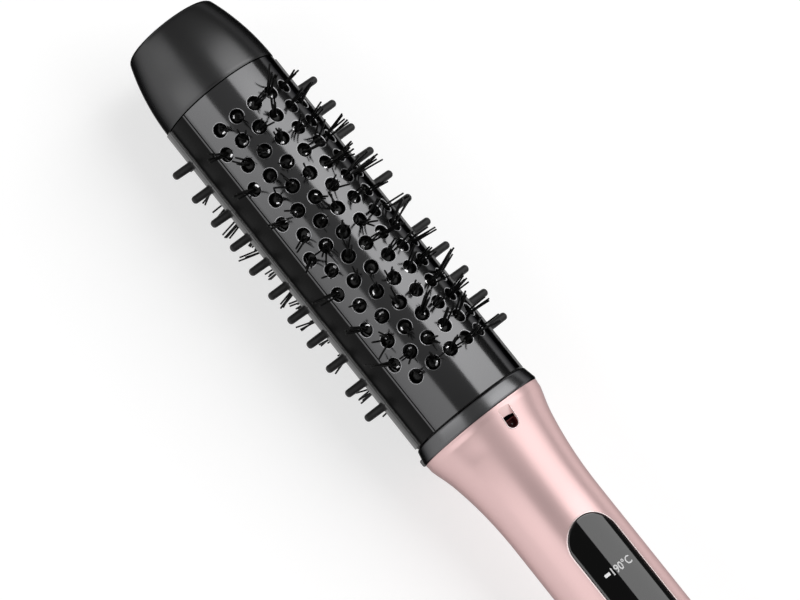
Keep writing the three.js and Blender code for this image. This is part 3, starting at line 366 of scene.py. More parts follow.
def finish(name, colour, roughness, metallic=0.0, grain=700.0, bump=0.05, depth=0.00002,
           spread=0.04, shade=0.9, stretch=(1, 1, 1), specular=0.5, tint=(1, 1, 1), ior=1.5,
           transmission=0.0):
    """A moulded, painted or metal surface: its colour, gloss and fine relief vary over the piece."""
    material = bpy.data.materials.new(name)
    material.use_nodes = True
    tree = material.node_tree
    where = add_node(tree, "TexCoord", {})
    turn = add_node(tree, "Mapping", {"Scale": stretch, "Vector": where.outputs["Object"]})
    fine, broad = [add_node(tree, "TexNoise", {"Scale": scale, "Detail": detail,
                                               "Vector": turn.outputs["Vector"]}).outputs["Fac"]
                   for scale, detail in ((grain, 4.0), (35.0, 3.0))]
    shades = blend(tree, broad, (*[c * shade for c in colour], 1), (*colour, 1))
    gloss = add_node(tree, "MapRange", {"Value": broad, "To Min": max(roughness - spread, 0.02),
                                        "To Max": roughness + spread})
    relief = add_node(tree, "Bump", {"Strength": bump, "Distance": depth, "Height": fine})
    feed(tree, tree.nodes["Principled BSDF"], {
        "Base Color": shades, "Roughness": gloss.outputs["Result"],
        "Normal": relief.outputs["Normal"], "Metallic": metallic, "IOR": ior,
        "Specular IOR Level": specular, "Specular Tint": (*tint, 1),
        "Transmission Weight": transmission})
    FINISHES[name] = material
    return material


def metal_paint(name, colour, dark, roughness):
    """Paint with fine metal flakes under a thin lacquer."""
    material = finish(name, colour, roughness, metallic=0.62, grain=2600.0, bump=0.12,
                      depth=0.00001, spread=0.03, shade=0.96, tint=(0.02, 0.0, 0.0))
    tree = material.node_tree
    shades = next(n for n in tree.nodes if n.type == "MIX").outputs[2]
    flakes = add_node(tree, "TexVoronoi", {"Scale": 5200.0,
                                           "Vector": tree.nodes["Mapping"].outputs["Vector"]})
    glint = add_node(tree, "MapRange", {"Value": flakes.outputs["Distance"], "To Min": 0.0,
                                        "To Max": 0.35})
    mixed = blend(tree, glint.outputs["Result"], shades, (*dark, 1))
    feed(tree, tree.nodes["Principled BSDF"], {"Base Color": mixed})


finish("barrel_black", (0.1, 0.1, 0.102), 0.14, metallic=1.0, grain=1500.0, bump=0.03,
       depth=0.00001, spread=0.02, shade=0.92, tint=grey(0.02))
# band_black is painted shade: a near-black, barely glossy finish on the plates' side bands, groove and
# hole walls, so the barrel's sides and holes look dark.
finish("band_black", grey(0.004), 0.45, grain=1800.0, bump=0.08, specular=0.08)
finish("cut_edge", (0.4, 0.4, 0.41), 0.3, metallic=1.0, grain=2500.0, bump=0.1)
finish("anchor_steel", (0.75, 0.75, 0.76), 0.22, metallic=1.0, grain=1500.0, bump=0.4,
       depth=0.0001)
finish("rail_black", grey(0.032), 0.3, grain=2600.0, bump=0.1, depth=0.00001, specular=1.0)
finish("bristle_black", grey(0.003), 0.45, grain=3000.0, bump=0.05, specular=0.18)
finish("core_black", grey(0.002), 0.3, grain=1400.0, bump=0.6, depth=0.0002, specular=0.18)
finish("pin_black", grey(0.011), 0.48, grain=2600.0, bump=0.25, depth=0.00003, specular=0.3)
finish("cap_black", (0.078, 0.078, 0.079), 0.3, metallic=1.0, grain=3200.0, bump=0.2,
       depth=0.00002, tint=grey(0.1))
finish("collar_grey", (0.128, 0.128, 0.131), 0.24, metallic=1.0, grain=2200.0, bump=0.25,
       depth=0.00002, stretch=(0.12, 1, 1), tint=grey(0.05))
metal_paint("rose_gold", (0.81, 0.57, 0.562), (0.68, 0.458, 0.45), 0.34)
finish("rose_edge", (0.92, 0.78, 0.77), 0.25, metallic=1.0, grain=2000.0, bump=0.05, depth=0.00001)
finish("rose_plain", (0.93, 0.67, 0.65), 0.5, grain=2000.0, bump=0.1)
finish("window_black", grey(0.001), 0.05, grain=90.0, bump=0.01, spread=0.01, specular=0.95,
       ior=1.55)
finish("print_grey", grey(0.66), 0.5, grain=4000.0, bump=0.05)
# The lit bars beside the printed temperatures. Their glow is painted light: plain white paint that
# gives no light.
finish("lit_white", grey(0.9), 0.5, grain=4000.0, bump=0.05)
finish("button_black", (0.012, 0.012, 0.013), 0.34, grain=3000.0, bump=0.15)
finish("swivel_black", grey(0.018), 0.62, grain=2000.0, bump=0.3, depth=0.00004)
finish("nozzle_red", (0.09, 0.012, 0.012), 0.5, grain=2000.0, bump=0.05, specular=0.15)
finish("steel", (0.56, 0.57, 0.58), 0.28, metallic=1.0, grain=900.0, bump=0.05,
       stretch=(0.1, 1, 1))

# The inner pieces
finish("spreader_aluminium", (0.6, 0.61, 0.62), 0.38, metallic=1.0, stretch=(0.05, 1, 1),
       grain=1200.0, bump=0.15)
finish("heater_ceramic", (0.72, 0.68, 0.6), 0.7, bump=0.3, depth=0.00005)
finish("heat_resin", (0.02, 0.019, 0.018), 0.55, bump=0.2)
finish("chassis_black", (0.03, 0.03, 0.032), 0.5, bump=0.2)
finish("board_green", (0.02, 0.12, 0.05), 0.35, grain=400.0, bump=0.1)
finish("clear_resin", (0.85, 0.88, 0.88), 0.08, bump=0.02, transmission=0.9)
finish("potted_block", (0.03, 0.03, 0.05), 0.2, grain=120.0, bump=0.1)
finish("switch_grey", (0.2, 0.2, 0.21), 0.5, bump=0.15)

# The pin strips' slot has the finish of the pins.
FINISHES["strip_black"] = FINISHES["pin_black"]


# Barrel plates

def hole_centres():
    """The holes as (column, row), in staggered rows of five and six."""
    for row in range(ROWS):
        count = 5 + row % 2
        for column in range(count):
            yield column - 0.5 * (count - 1), row


def nearest_hole(k, j):
    """The place on the staggered pattern that is nearest to a place on the grid."""
    row = round(j / CELLS)
    shift = 0 if row % 2 == 0 else CELLS // 2
    return round((k - shift) / CELLS) * CELLS + shift, row * CELLS


def flat_plate():
    """One plate rolled flat: x is the arc round the barrel, y runs along it, z is outwards."""
    columns, lines = 2 * EDGE_COLUMN, LINES_BELOW + LINES_ABOVE
    shape = new_shape()
    bmesh.ops.create_grid(shape, x_segments=columns, y_segments=lines, size=1.0)
    holes = {(round(CELLS * column), CELLS * row) for column, row in hole_centres()}
    gone = []
    for face in shape.faces:
        centre = face.calc_center_median()
        k = (centre.x + 1) * 0.5 * columns - EDGE_COLUMN
        j = (centre.y + 1) * 0.5 * lines - LINES_BELOW
        near = nearest_hole(k, j)
        if near in holes and abs(k - near[0]) < HOLE_CELLS and abs(j - near[1]) < HOLE_CELLS:
            gone.append(face)
    bmesh.ops.delete(shape, geom=gone, context="FACES")
    for v in shape.verts:
        k = round((v.co.x + 1) * 0.5 * columns) - EDGE_COLUMN
        j = round((v.co.y + 1) * 0.5 * lines) - LINES_BELOW
        x, y = round_the_hole(k, j, holes)
        if abs(k) in FITTED_COLUMNS:
            x = math.copysign(FITTED_COLUMNS[abs(k)], k)
        v.co = (x, min(max(y + FIRST_ROW, PLATE_START), PLATE_END), 0.0)
    return shape


def round_the_hole(k, j, holes):
    """Where a grid point goes: the edge of a hole becomes a circle, and the next ring nearly one."""
    cell_x, cell_y = COLUMN_PITCH / CELLS, ROW_PITCH / CELLS
    next_ring_radius, next_ring_share = 3.05, 0.6
    x, y = k * cell_x, j * cell_y
    near = nearest_hole(k, j)
    if near in holes:
        dx, dy = x - near[0] * cell_x, y - near[1] * cell_y
        ring = max(abs(k - near[0]), abs(j - near[1]))
        size = math.hypot(dx, dy)
        if ring == HOLE_CELLS:
            x, y = x + dx * (HOLE_RADIUS / size - 1), y + dy * (HOLE_RADIUS / size - 1)
        elif ring == HOLE_CELLS + 1:
            x += next_ring_share * dx * (next_ring_radius / size - 1)
            y += next_ring_share * dy * (next_ring_radius / size - 1)
    return x, y


def sink_grooves(shape):
    groove = [f for f in shape.faces
              if f.normal.z > 0.5 and GROOVE_FROM < abs(f.calc_center_median().x) < GROOVE_TO]
    sunk = bmesh.ops.extrude_face_region(shape, geom=groove)
    bmesh.ops.delete(shape, geom=groove, context="FACES")
    for v in sunk["geom"]:
        if isinstance(v, bmesh.types.BMVert):
            v.co.z -= GROOVE_DEPTH


def plate_shape():
    """A perforated half shell. Materials: 0 the skin, 1 the side bands, groove and hole walls in
    painted shade, 2 the hole edges.
    """
    shape = flat_plate()
    bmesh.ops.recalc_face_normals(shape, faces=shape.faces)
    if shape.faces[:][0].normal.z < 0:
        bmesh.ops.reverse_faces(shape, faces=shape.faces)
    bmesh.ops.solidify(shape, geom=shape.faces[:], thickness=PLATE_WALL)
    top = max(v.co.z for v in shape.verts)
    for v in shape.verts:
        v.co.z -= top
    bmesh.ops.recalc_face_normals(shape, faces=shape.faces)
    sink_grooves(shape)
    margin = 0.01
    # The side bands, the groove and the hole walls take band_black, as painted shade for the dark
    # reflections along the barrel's sides and in the holes. The groove itself is a real sunk groove.
    for f in shape.faces:
        side = abs(f.calc_center_median().x)
        in_groove = GROOVE_FROM - margin < side < GROOVE_TO + margin
        dark = side > BAND_START - margin or in_groove or abs(f.normal.z) < 0.5
        f.material_index = 1 if dark else 0
    rims = [e for e in shape.edges
            if len(e.link_faces) == 2 and all(abs(v.co.z) < 1e-5 for v in e.verts)
            and min(abs(f.normal.z) for f in e.link_faces) < 0.5
            and all(abs(v.co.x) < HOLES_WITHIN and PLATE_START + 1 < v.co.y < PLATE_END - 1
                    for v in e.verts)]
    for f in ease(shape, rims, HOLE_EASING, 2):
        f.material_index = 2
    for v in shape.verts:
        angle, radius = v.co.x / BARREL_RADIUS, BARREL_RADIUS + v.co.z
        v.co = (v.co.y, radius * math.sin(angle), radius * math.cos(angle))
    bmesh.ops.recalc_face_normals(shape, faces=shape.faces)
    return shape


def barrel_normals(mesh):
    """The skin of the barrel shades as a true cylinder, whatever the holes do to its mesh."""
    out = []
    for loop in mesh.loops:
        point = on_drawing(mesh.vertices[loop.vertex_index])
        arm = Vector((0.0, point.y, point.z))
        on_skin = abs(arm.length - BARREL_RADIUS) < 0.002
        out.append(arm.normalized() if on_skin else Vector((0.0, 0.0, 0.0)))
    return out


for side, shape in (("front", plate_shape()), ("back", half_turned(plate_shape()))):
    dress(side + "_plate", shape, "barrel_black", ["barrel_black", "band_black", "cut_edge"],
          sharp=50.0, normals=barrel_normals)


# Bristles. Materials: 0 the strands, 1 the strip and the cores, 2 the steel anchors.

def strand_template():
    """One straight strand of length 1, with steps along it so that it can bend."""
    strand = new_shape()
    bmesh.ops.create_cone(strand, cap_ends=True, segments=6, radius1=STRAND_FOOT_RADIUS,
                          radius2=STRAND_TIP_RADIUS, depth=1.0)
    moved(strand, by=(0, 0, 0.5))
    long_edges = [e for e in strand.edges if abs(e.verts[0].co.z - e.verts[1].co.z) > 0.5]
    bmesh.ops.subdivide_edges(strand, edges=long_edges, cuts=3)
    return new_mesh("strand", strand)


def carrier_strip():
    """The curved strip under a plate, which the tufts stand on."""
    start, end = CARRIER_START, CARRIER_END
    inner, outer = CARRIER_INNER_RADIUS, CARRIER_RADIUS
    strip = turned([(start, inner), (start, outer - CARRIER_EASING), (start + CARRIER_EASING, outer),
                    (end - CARRIER_EASING, outer), (end, outer - CARRIER_EASING), (end, inner)],
                   128, closed=True)
    for turn, plane in ((CARRIER_HALF_ANGLE, 1), (-CARRIER_HALF_ANGLE, -1)):
        normal = Vector((0, math.cos(turn) * plane, -math.sin(turn) * plane))
        bmesh.ops.bisect_plane(strip, geom=strip.verts[:] + strip.edges[:] + strip.faces[:],
                               plane_co=(0, 0, 0), plane_no=normal, clear_outer=True)
        bmesh.ops.holes_fill(strip, edges=[e for e in strip.edges if e.is_boundary], sides=0)
    for f in strip.faces:
        f.material_index = 1
    return strip


def tuft_core(chance):
    """The glossy moulded core of a tuft, with a glimpse of its steel anchor on one side."""
    core = turned(CORE_DOME, 14, axis=(0, 0, 1))
    anchor = chance.uniform(-math.pi, math.pi)
    for f in core.faces:
        middle = f.calc_center_median()
        away = math.remainder(math.atan2(middle.y, middle.x) - anchor, 2 * math.pi)
        on_anchor = 1.2 < math.hypot(middle.x, middle.y) < 2.1 and abs(away) < 0.55
        f.material_index = 2 if on_anchor else 1
    return core


def add_tuft(tufts, template, chance, x, angle, limit):
    """Three to five bent strands that lean the same way. None goes past the limit in z."""
    outwards = Vector((0, math.sin(angle), math.cos(angle)))
    across = Vector((0, math.cos(angle), -math.sin(angle)))
    lengthwise = Vector((1, 0, 0))
    heading = chance.uniform(-math.pi, math.pi)
    lean = Vector((math.cos(heading), math.sin(heading))) * chance.uniform(0.05, 0.45)
    lean.x += 0.03
    shift = lean.normalized() * chance.uniform(0.3, 0.8)
    count = chance.choice((3, 4, 5, 5))
    for n in range(count):
        spin = 2 * math.pi * (n + chance.uniform(-0.3, 0.3)) / count
        ring = chance.uniform(0.45, 1.0)
        along, aside = ring * math.cos(spin) + shift.x, ring * math.sin(spin) + shift.y
        foot = outwards * STRAND_FOOT + lengthwise * (x + along) + across * aside
        stray = 0.25 if chance.random() < 0.08 else 0.09
        splay = lean + Vector((chance.gauss(0, stray), chance.gauss(0, stray)))
        splay += Vector((math.cos(spin), math.sin(spin))) * 0.05 * chance.uniform(-1, 1.5)
        bend = Vector((chance.gauss(0, 0.3), chance.gauss(0, 0.3)))
        direction = (outwards + lengthwise * splay.x + across * splay.y).normalized()
        reach = BRISTLE_REACH - min(abs(chance.gauss(0, 0.8)), 2.6)
        length = (reach - STRAND_FOOT) / direction.dot(outwards)
        right = direction.cross(across).normalized()
        up = direction.cross(right)
        first = len(tufts.verts)
        tufts.from_mesh(template)
        tufts.verts.ensure_lookup_table()
        for v in tufts.verts[first:]:
            t = v.co.z
            middle = foot + direction * length * t
            middle += (lengthwise * bend.x + across * bend.y) * t * t
            v.co = middle + right * v.co.x + up * v.co.y
            v.co.z = min(v.co.z, limit)


def bristle_shape(template, chance, limit=math.inf):
    """Tufts of bent strands that stand on glossy cores, and the strip that holds them."""
    strip = carrier_strip()
    tufts = new_shape()
    for column, row in hole_centres():
        x, angle = FIRST_ROW + ROW_PITCH * row, column * COLUMN_PITCH / BARREL_RADIUS
        core = moved(tuft_core(chance), by=(x, 0, 0))
        joined(strip, moved(core, turn=Matrix.Rotation(-angle, 4, "X")))
        add_tuft(tufts, template, chance, x, angle, limit)
    return joined(strip, tufts)


chance = random.Random(7)
strand = strand_template()
# The brush lies on its back tufts, and the floor flattens their tips.
for side, shape in (("front", bristle_shape(strand, chance)),
                    ("back", half_turned(bristle_shape(strand, chance,
                                                       AXIS_HEIGHT - FLOOR_CLEARANCE)))):
    dress(side + "_bristles", shape, "bristle_black",
          ["bristle_black", "core_black", "anchor_steel"], sharp=60.0)
bpy.data.meshes.remove(strand)


# Pin strips

def strip_shape():
    """A rail between the plates, with a row of round-ended pins that flare into it."""
    foot, half = RAIL_FOOT_HALF_WIDTH, RAIL_HALF_WIDTH
    section = rounded([(-foot, RAIL_FOOT_BOTTOM), (-foot, RAIL_FOOT_TOP), (-half, RAIL_FOOT_TOP),
                       (-half, RAIL_TOP), (half, RAIL_TOP), (half, RAIL_FOOT_TOP),
                       (foot, RAIL_FOOT_TOP), (foot, RAIL_FOOT_BOTTOM)],
                      {3: RAIL_CORNER, 4: RAIL_CORNER}, 5)
    rail = raised(new_shape(), [(PLATE_START, out, across) for across, out in section],
                  (PLATE_END - PLATE_START, 0, 0))
    for f in rail.faces:
        f.material_index = 1
    for i in range(PINS):
        pin = turned(PIN_PROFILE, 18, axis=(0, 1, 0))
        joined(rail, moved(pin, by=(FIRST_PIN + PIN_PITCH * i, 0, 0)))
    return rail


for side, shape in (("left", strip_shape()), ("right", half_turned(strip_shape()))):
    dress(side + "_pin_strip", shape, "strip_black", ["pin_black", "rail_black"], sharp=40.0)


# Tip cap

def cap_radius(t):
    """The flank's radius, at a distance from the cap's start."""
    bulge = (CAP_DRAW_LENGTH ** 2 + CAP_DRAW ** 2) / (2 * CAP_DRAW)
    return CAP_RADIUS - (bulge - math.sqrt(bulge ** 2 - t ** 2))


def cap_shape():
    flank = CAP_TOP - CAP_CORNER - CAP_START
    for _ in range(4):
        tilt = math.atan2(cap_radius(flank - 0.5) - cap_radius(flank), 0.5)
        flank = CAP_TOP - CAP_CORNER * (1 - math.sin(tilt)) - CAP_START
    lead = 0.4
    outer = [(CAP_START, BARREL_RADIUS - 0.15), (CAP_START + 0.12, BARREL_RADIUS + 0.12)]
    for t in fan(flank - lead, 24):
        outer.append((CAP_START + lead + t, cap_radius(lead + t)))
    edge = cap_radius(flank)
    for a in fan(math.pi / 2 - tilt, 10)[1:]:
        outer.append((CAP_TOP - CAP_CORNER * (1 - math.sin(tilt + a)),
                      edge - CAP_CORNER * (math.cos(tilt) - math.cos(tilt + a))))
    flat = outer[-1][1]
    outer += [(CAP_TOP, flat * 0.66), (CAP_TOP, flat * 0.33), (CAP_TOP, 0.0)]
    inner = [(CAP_TOP - CAP_WALL, 0.0), (CAP_TOP - CAP_WALL, flat - 1.5), (CAP_START + 8.0, 20.4),
             (CAP_START, 20.6)]
    return turned(inner + outer, 144)


dress("tip_cap", cap_shape(), "cap_black", sharp=30.0)


# Collar

def rest_foot():
    """A small block under the collar, most rounded where it meets the table."""
    foot = new_shape()
    bmesh.ops.create_cube(foot, size=1.0)
    bmesh.ops.scale(foot, vec=REST_FOOT_SIZE, verts=foot.verts)
    outer = [e for e in foot.edges if all(v.co.z > 0 for v in e.verts)
             and abs(e.verts[0].co.x - e.verts[1].co.x) > 1]
    ease(foot, outer, 1.6, 5)
    ease(foot, [e for e in foot.edges if e.calc_face_angle(0) > 0.6], 0.7, 4)
    return moved(foot, by=REST_FOOT_PLACE)


def collar_shape():
    section = [(COLLAR_START, COLLAR_BORE), (COLLAR_START, COLLAR_RADIUS),
               (COLLAR_END, COLLAR_RADIUS), (COLLAR_END, COLLAR_BORE)]
    ring = turned(rounded(section, {1: 0.25, 2: 1.5}, 6), 144, closed=True)
    for angle in (REST_FOOT_ANGLE, -REST_FOOT_ANGLE):
        joined(ring, moved(rest_foot(), turn=Matrix.Rotation(angle, 4, "X")))
    return ring


dress("collar", collar_shape(), "collar_grey")


# Handle

def cubic(values, t):
    """A point on a cubic curve with four control values."""
    s = 1 - t
    a, b, c, d = values
    return a * s ** 3 + 3 * b * s * s * t + 3 * c * s * t * t + d * t ** 3


def neck_radius(x):
    """The neck's outline is one curve from the mouth to the grip, a little fuller at the lip."""
    if x >= MOUTH_END:
        return MOUTH_RADIUS
    if x <= NECK_END:
        return GRIP_RADIUS
    places, radii = zip(*NECK_CURVE)
    low, high = 0.0, 1.0
    for _ in range(32):
        t = 0.5 * (low + high)
        if cubic(places, t) > x:
            low = t
        else:
            high = t
    lip = smoothstep(-x, LIP_START, LIP_CREST) * (1 - smoothstep(-x, LIP_CREST, LIP_END))
    return cubic(radii, t) + LIP_FULLNESS * lip


def ring_radius(x, angle, inset=0.0):
    """How far the handle's skin is from its axis, at an angle from the front."""
    drop = FRONT_FLATTENING * smoothstep(-x, FLAT_START, FLAT_FULL)
    return neck_radius(x) - inset - drop * max(math.cos(angle), 0.0) ** 3


def skin_point(x, angle):
    r = ring_radius(x, angle)
    return Vector((x, r * math.sin(angle), r * math.cos(angle)))


def front_height(x, y):
    """How high the handle's skin is above the axis, beside its middle line."""
    z = GRIP_RADIUS
    for _ in range(12):
        angle = math.atan2(y, z)
        z = ring_radius(x, angle) * math.cos(angle)
    return z


def lofted(path, sides):
    """A closed tube of handle sections. Each step of the path is (x, inset, radius or None)."""
    shape = new_shape()
    steps = len(path)
    bmesh.ops.create_grid(shape, x_segments=steps, y_segments=sides, size=1.0)
    for v in shape.verts:
        x, inset, circle = path[round((v.co.x + 1) * 0.5 * steps) % steps]
        angle = -math.pi * v.co.y
        r = circle if circle is not None else ring_radius(x, angle, inset)
        v.co = (x, r * math.sin(angle), r * math.cos(angle))
    return tidy(shape, 0.0002)


def handle_path():
    outer = [(0.0, 0.6, None), (-0.06, 0.36, None), (-0.42, 0.02, None)]
    outer += [(MOUTH_END - 11.2 * i / 28, 0.0, None) for i in range(28)]
    outer += [(-12.0 - 30.0 * i / 36, 0.0, None) for i in range(37)]
    outer += [(NECK_END - 107.6 * i / 40, 0.0, None) for i in range(1, 41)]
    outer += [(HANDLE_END + 0.1, 0.1, None), (HANDLE_END, 0.4, None),
              (HANDLE_END, HANDLE_WALL, None)]
    inner = [(x, HANDLE_WALL, None) for x in (-110.0, -60.0, -42.0, -30.0, -20.0, -12.0, -6.0, 0.0)]
    return outer + inner


OUTLET_FLOOR = neck_radius(OUTLET_TOP) - OUTLET_DEPTH


def outlet_plan(start, half, bottom, top):
    """A prism with a straight upper end at `start` and a round lower end."""
    outline = [(start, half), (start, -half)]
    outline += [(OUTLET_FOOT + OUTLET_HALF - half * math.sin(a), -half * math.cos(a))
                for a in fan(math.pi, 24)]
    return raised(new_shape(), [(x, y + OUTLET_Y, bottom) for x, y in outline],
                  (0, 0, top - bottom))


def outlet_ramp():
    """The ramped recess in the neck."""
    shape = outlet_plan(OUTLET_TOP, OUTLET_HALF, OUTLET_FLOOR, OUTLET_FLOOR + 8.0)
    bmesh.ops.bisect_plane(shape, geom=shape.verts[:] + shape.edges[:] + shape.faces[:],
                           plane_co=(OUTLET_TOP, 0, OUTLET_FLOOR + OUTLET_DEPTH),
                           plane_no=(OUTLET_DEPTH, 0, OUTLET_STEP - OUTLET_TOP),
                           clear_outer=True)
    return close_holes(shape)


def outlet_hole():
    """The opening at the foot of the ramp."""
    return outlet_plan(OUTLET_STEP, OUTLET_HALF - 0.02, OUTLET_FLOOR - 4.0, OUTLET_FLOOR + 3.0)


def handle_shape():
    """The shell with its window opening and the ion outlet. Material 1 is the outlet's recess."""
    half = WINDOW_HALF_WIDTH + WINDOW_GAP
    opening = oval([(0.4, 11.0), (half, 11.0), (half, 19.0), (0.4, 19.0)], WINDOW_STRAIGHT, 96)
    shell = cut(lofted(handle_path(), 192), moved(opening, by=(WINDOW_MIDDLE, 0, 0)),
                outlet_ramp(), outlet_hole())
    for face in shell.faces:
        x, y, z = face.calc_center_median()
        sunk = ring_radius(x, math.atan2(y, z)) - math.hypot(y, z)
        beside = OUTLET_FOOT < x < OUTLET_TOP + 0.1 and abs(y - OUTLET_Y) < OUTLET_HALF + 0.1
        inside = z > OUTLET_FLOOR - 0.05 and (sunk > 0.2 or abs(face.normal.y) > 0.9)
        if beside and inside:
            face.material_index = 1
    return shell


def skin_normal(p):
    """The loft's own normal at a point, or None where the point isn't on the skin."""
    angle = math.atan2(p.y, p.z)
    x = min(max(p.x, HANDLE_END + 0.4), MOUTH_END)
    if abs(math.hypot(p.y, p.z) - ring_radius(x, angle)) > 0.03:
        return None
    along = skin_point(x - 0.2, angle) - skin_point(min(x + 0.2, MOUTH_END), angle)
    round_it = skin_point(x, angle + 0.004) - skin_point(x, angle - 0.004)
    normal = along.cross(round_it).normalized()
    return normal if normal.dot(Vector((0, p.y, p.z))) > 0 else -normal


def handle_normals(mesh):
    """The paint shades as the smooth loft that the handle was cut from."""
    out = [Vector((0.0, 0.0, 0.0))] * len(mesh.loops)
    known = {}
    for face in mesh.polygons:
        x = face.center.x * 1000 - ROW_ORIGIN.x
        if not HANDLE_END + 0.5 < x < MOUTH_END - 0.05:
            continue
        for number in face.vertices:
            if number not in known:
                known[number] = skin_normal(on_drawing(mesh.vertices[number]))
        normals = [known[number] for number in face.vertices]
        if None not in normals and normals[0].dot(face.normal) > 0.8:
            for index, normal in zip(face.loop_indices, normals):
                out[index] = normal
    return out


def window_bead():
    """The thin bright bead round the window's opening."""
    r, thick = WINDOW_HALF_WIDTH + 0.34, 0.22
    section = [(thick * math.sin(a), r + thick * math.cos(a)) for a in fan(2 * math.pi, 8)[:-1]]
    shape = turned(section, 96, closed=True, axis=(0, 0, 1), start=half_step(96))
    for v in shape.verts:
        v.co.x += math.copysign(0.5 * WINDOW_STRAIGHT, v.co.x) + WINDOW_MIDDLE
        v.co.z += front_height(v.co.x, v.co.y) + 0.03
    bmesh.ops.recalc_face_normals(shape, faces=shape.faces)
    return shape


def outlet_bead():
    """The fine rim down both sides of the ion outlet and round its foot, thinner at its ends."""
    half = OUTLET_HALF + 0.06
    line = [(-2.4 - 0.5 * i, half) for i in range(9)]
    line += [(OUTLET_FOOT + OUTLET_HALF - half * math.sin(a), half * math.cos(a))
             for a in fan(math.pi, 20)]
    line += [(-6.4 + 0.5 * i, -half) for i in range(9)]
    last = len(line) - 1
    shape = new_shape()
    bmesh.ops.create_grid(shape, x_segments=last, y_segments=8, size=1.0)
    for v in shape.verts:
        i, a = round((v.co.x + 1) * 0.5 * last), math.pi * v.co.y
        x, y = line[i]
        ahead, behind = line[min(i + 1, last)], line[max(i - 1, 0)]
        along = Vector((ahead[0] - behind[0], ahead[1] - behind[1], 0)).normalized()
        aside = Vector((-along.y, along.x, 0))
        thick = 0.21 * smoothstep(min(i, last - i), -1.0, 5.0)
        foot = Vector((x, y + OUTLET_Y, math.sqrt(neck_radius(x) ** 2 - (y + OUTLET_Y) ** 2)))
        v.co = foot + aside * thick * math.cos(a) + Vector((0, 0, thick * math.sin(a)))
    return close_holes(tidy(shape, 0.0002))


dress("handle_shell", handle_shape(), "rose_gold", ["rose_gold", "rose_plain"], sharp=32.0,
      normals=handle_normals)
place("window_lip", window_bead(), "rose_gold", ["rose_edge"], sharp=80.0)
place("outlet_lip", outlet_bead(), "rose_gold", ["rose_edge"], sharp=80.0)


# Window and buttons

def crown(y):
    """The height of the window's front above the axis."""
    return WINDOW_FRONT - (WINDOW_CROWN - math.sqrt(WINDOW_CROWN ** 2 - y * y))


def window_shape():
    """The lens: a crowned capsule with a rolled edge."""
    r, depth = WINDOW_HALF_WIDTH, 9.0
    section = [(0.4, 0.0)] + [((r - 0.4) * i / 11, 0.0) for i in range(1, 12)]
    section += [(r - 0.28, -0.015), (r - 0.17, -0.05), (r - 0.08, -0.11), (r - 0.02, -0.19),
                (r, -0.28), (r, -depth), (r - 1.0, -depth)]
    shape = oval(section, WINDOW_STRAIGHT, 96)
    for v in shape.verts:
        if v.co.z < -0.5 * depth:
            v.co.z = WINDOW_BACK
        else:
            v.co.z = max(v.co.z + crown(v.co.y), WINDOW_BACK + 0.05)
    return moved(shape, by=(WINDOW_MIDDLE, 0, 0))


def pocket(x, across, deep):
    """The hole in the window round one button."""
    r, low, high = 0.5 * across, 11.0, 18.0
    if deep:
        shape = oval([(0.2, low), (r, low), (r, high), (0.2, high)], deep - across, 48,
                     along=(0, 1, 0))
    else:
        shape = turned([(low, 0.0), (low, r), (high, r), (high, 0.0)], 48, axis=(0, 0, 1))
    return moved(shape, by=(x, 0, 0))


def window_normals(mesh):
    """The crowned front of the window shades as a true cylinder."""
    out = [Vector((0.0, 0.0, 0.0))] * len(mesh.loops)
    for face in mesh.polygons:
        corners = [on_drawing(mesh.vertices[v]) for v in face.vertices]
        if face.normal.z > 0.8 and all(abs(p.z - crown(p.y)) < 0.004 for p in corners):
            for index, p in zip(face.loop_indices, corners):
                lean = p.y / WINDOW_CROWN
                out[index] = Vector((0.0, lean, math.sqrt(1 - lean * lean)))
    return out


def button_shape(x, across, deep):
    """A dished button with a flange that holds it behind the window."""
    r, top, middle = 0.5 * across, WINDOW_FRONT + BUTTON_HEIGHT, 0.3 if deep else 0.0
    section = [(middle, top - 0.12), (r * 0.5, top - 0.09), (r * 0.8, top), (r - 0.45, top),
               (r - 0.2, top - 0.07), (r - 0.06, top - 0.22), (r, top - 0.45), (r, top - 3.0),
               (r + 0.9, top - 3.0), (r + 0.9, top - 3.9), (middle, top - 3.9)]
    if deep:
        shape = oval(section, deep - across, 64, along=(0, 1, 0))
    else:
        shape = turned([(z, out) for out, z in section], 64, axis=(0, 0, 1))
    return moved(shape, by=(x, 0, 0))


pockets = [pocket(x, across + 2 * BUTTON_GAP, (deep + 2 * BUTTON_GAP) if deep else 0.0)
           for x, across, deep, _ in BUTTONS.values()]
dress("display_window", cut(window_shape(), *pockets), "window_black", sharp=40.0,
      normals=window_normals)
for name, (x, across, deep, body) in BUTTONS.items():
    dress(name, button_shape(x, across, deep), "button_black", body=body, sharp=40.0)


# Print and signs

def flat_mark(name, outline_shape, x, y, height, ink, body="brush_body", slot="window_black"):
    """A thin printed mark. It reads towards -Y, with its top towards the tip."""
    turn = Matrix(((0, 1, 0, x), (-1, 0, 0, y), (0, 0, 1, 0), (0, 0, 0, 1)))
    bmesh.ops.transform(outline_shape, matrix=turn, verts=outline_shape.verts)
    for _ in range(2):
        long_edges = [e for e in outline_shape.edges if e.calc_length() > 0.5]
        bmesh.ops.subdivide_edges(outline_shape, edges=long_edges, cuts=2)
        bmesh.ops.triangulate(outline_shape, faces=outline_shape.faces[:])
    for v in outline_shape.verts:
        v.co.z += height(v.co.y)
    place(name, outline_shape, slot, [ink], body=body, sharp=30.0)


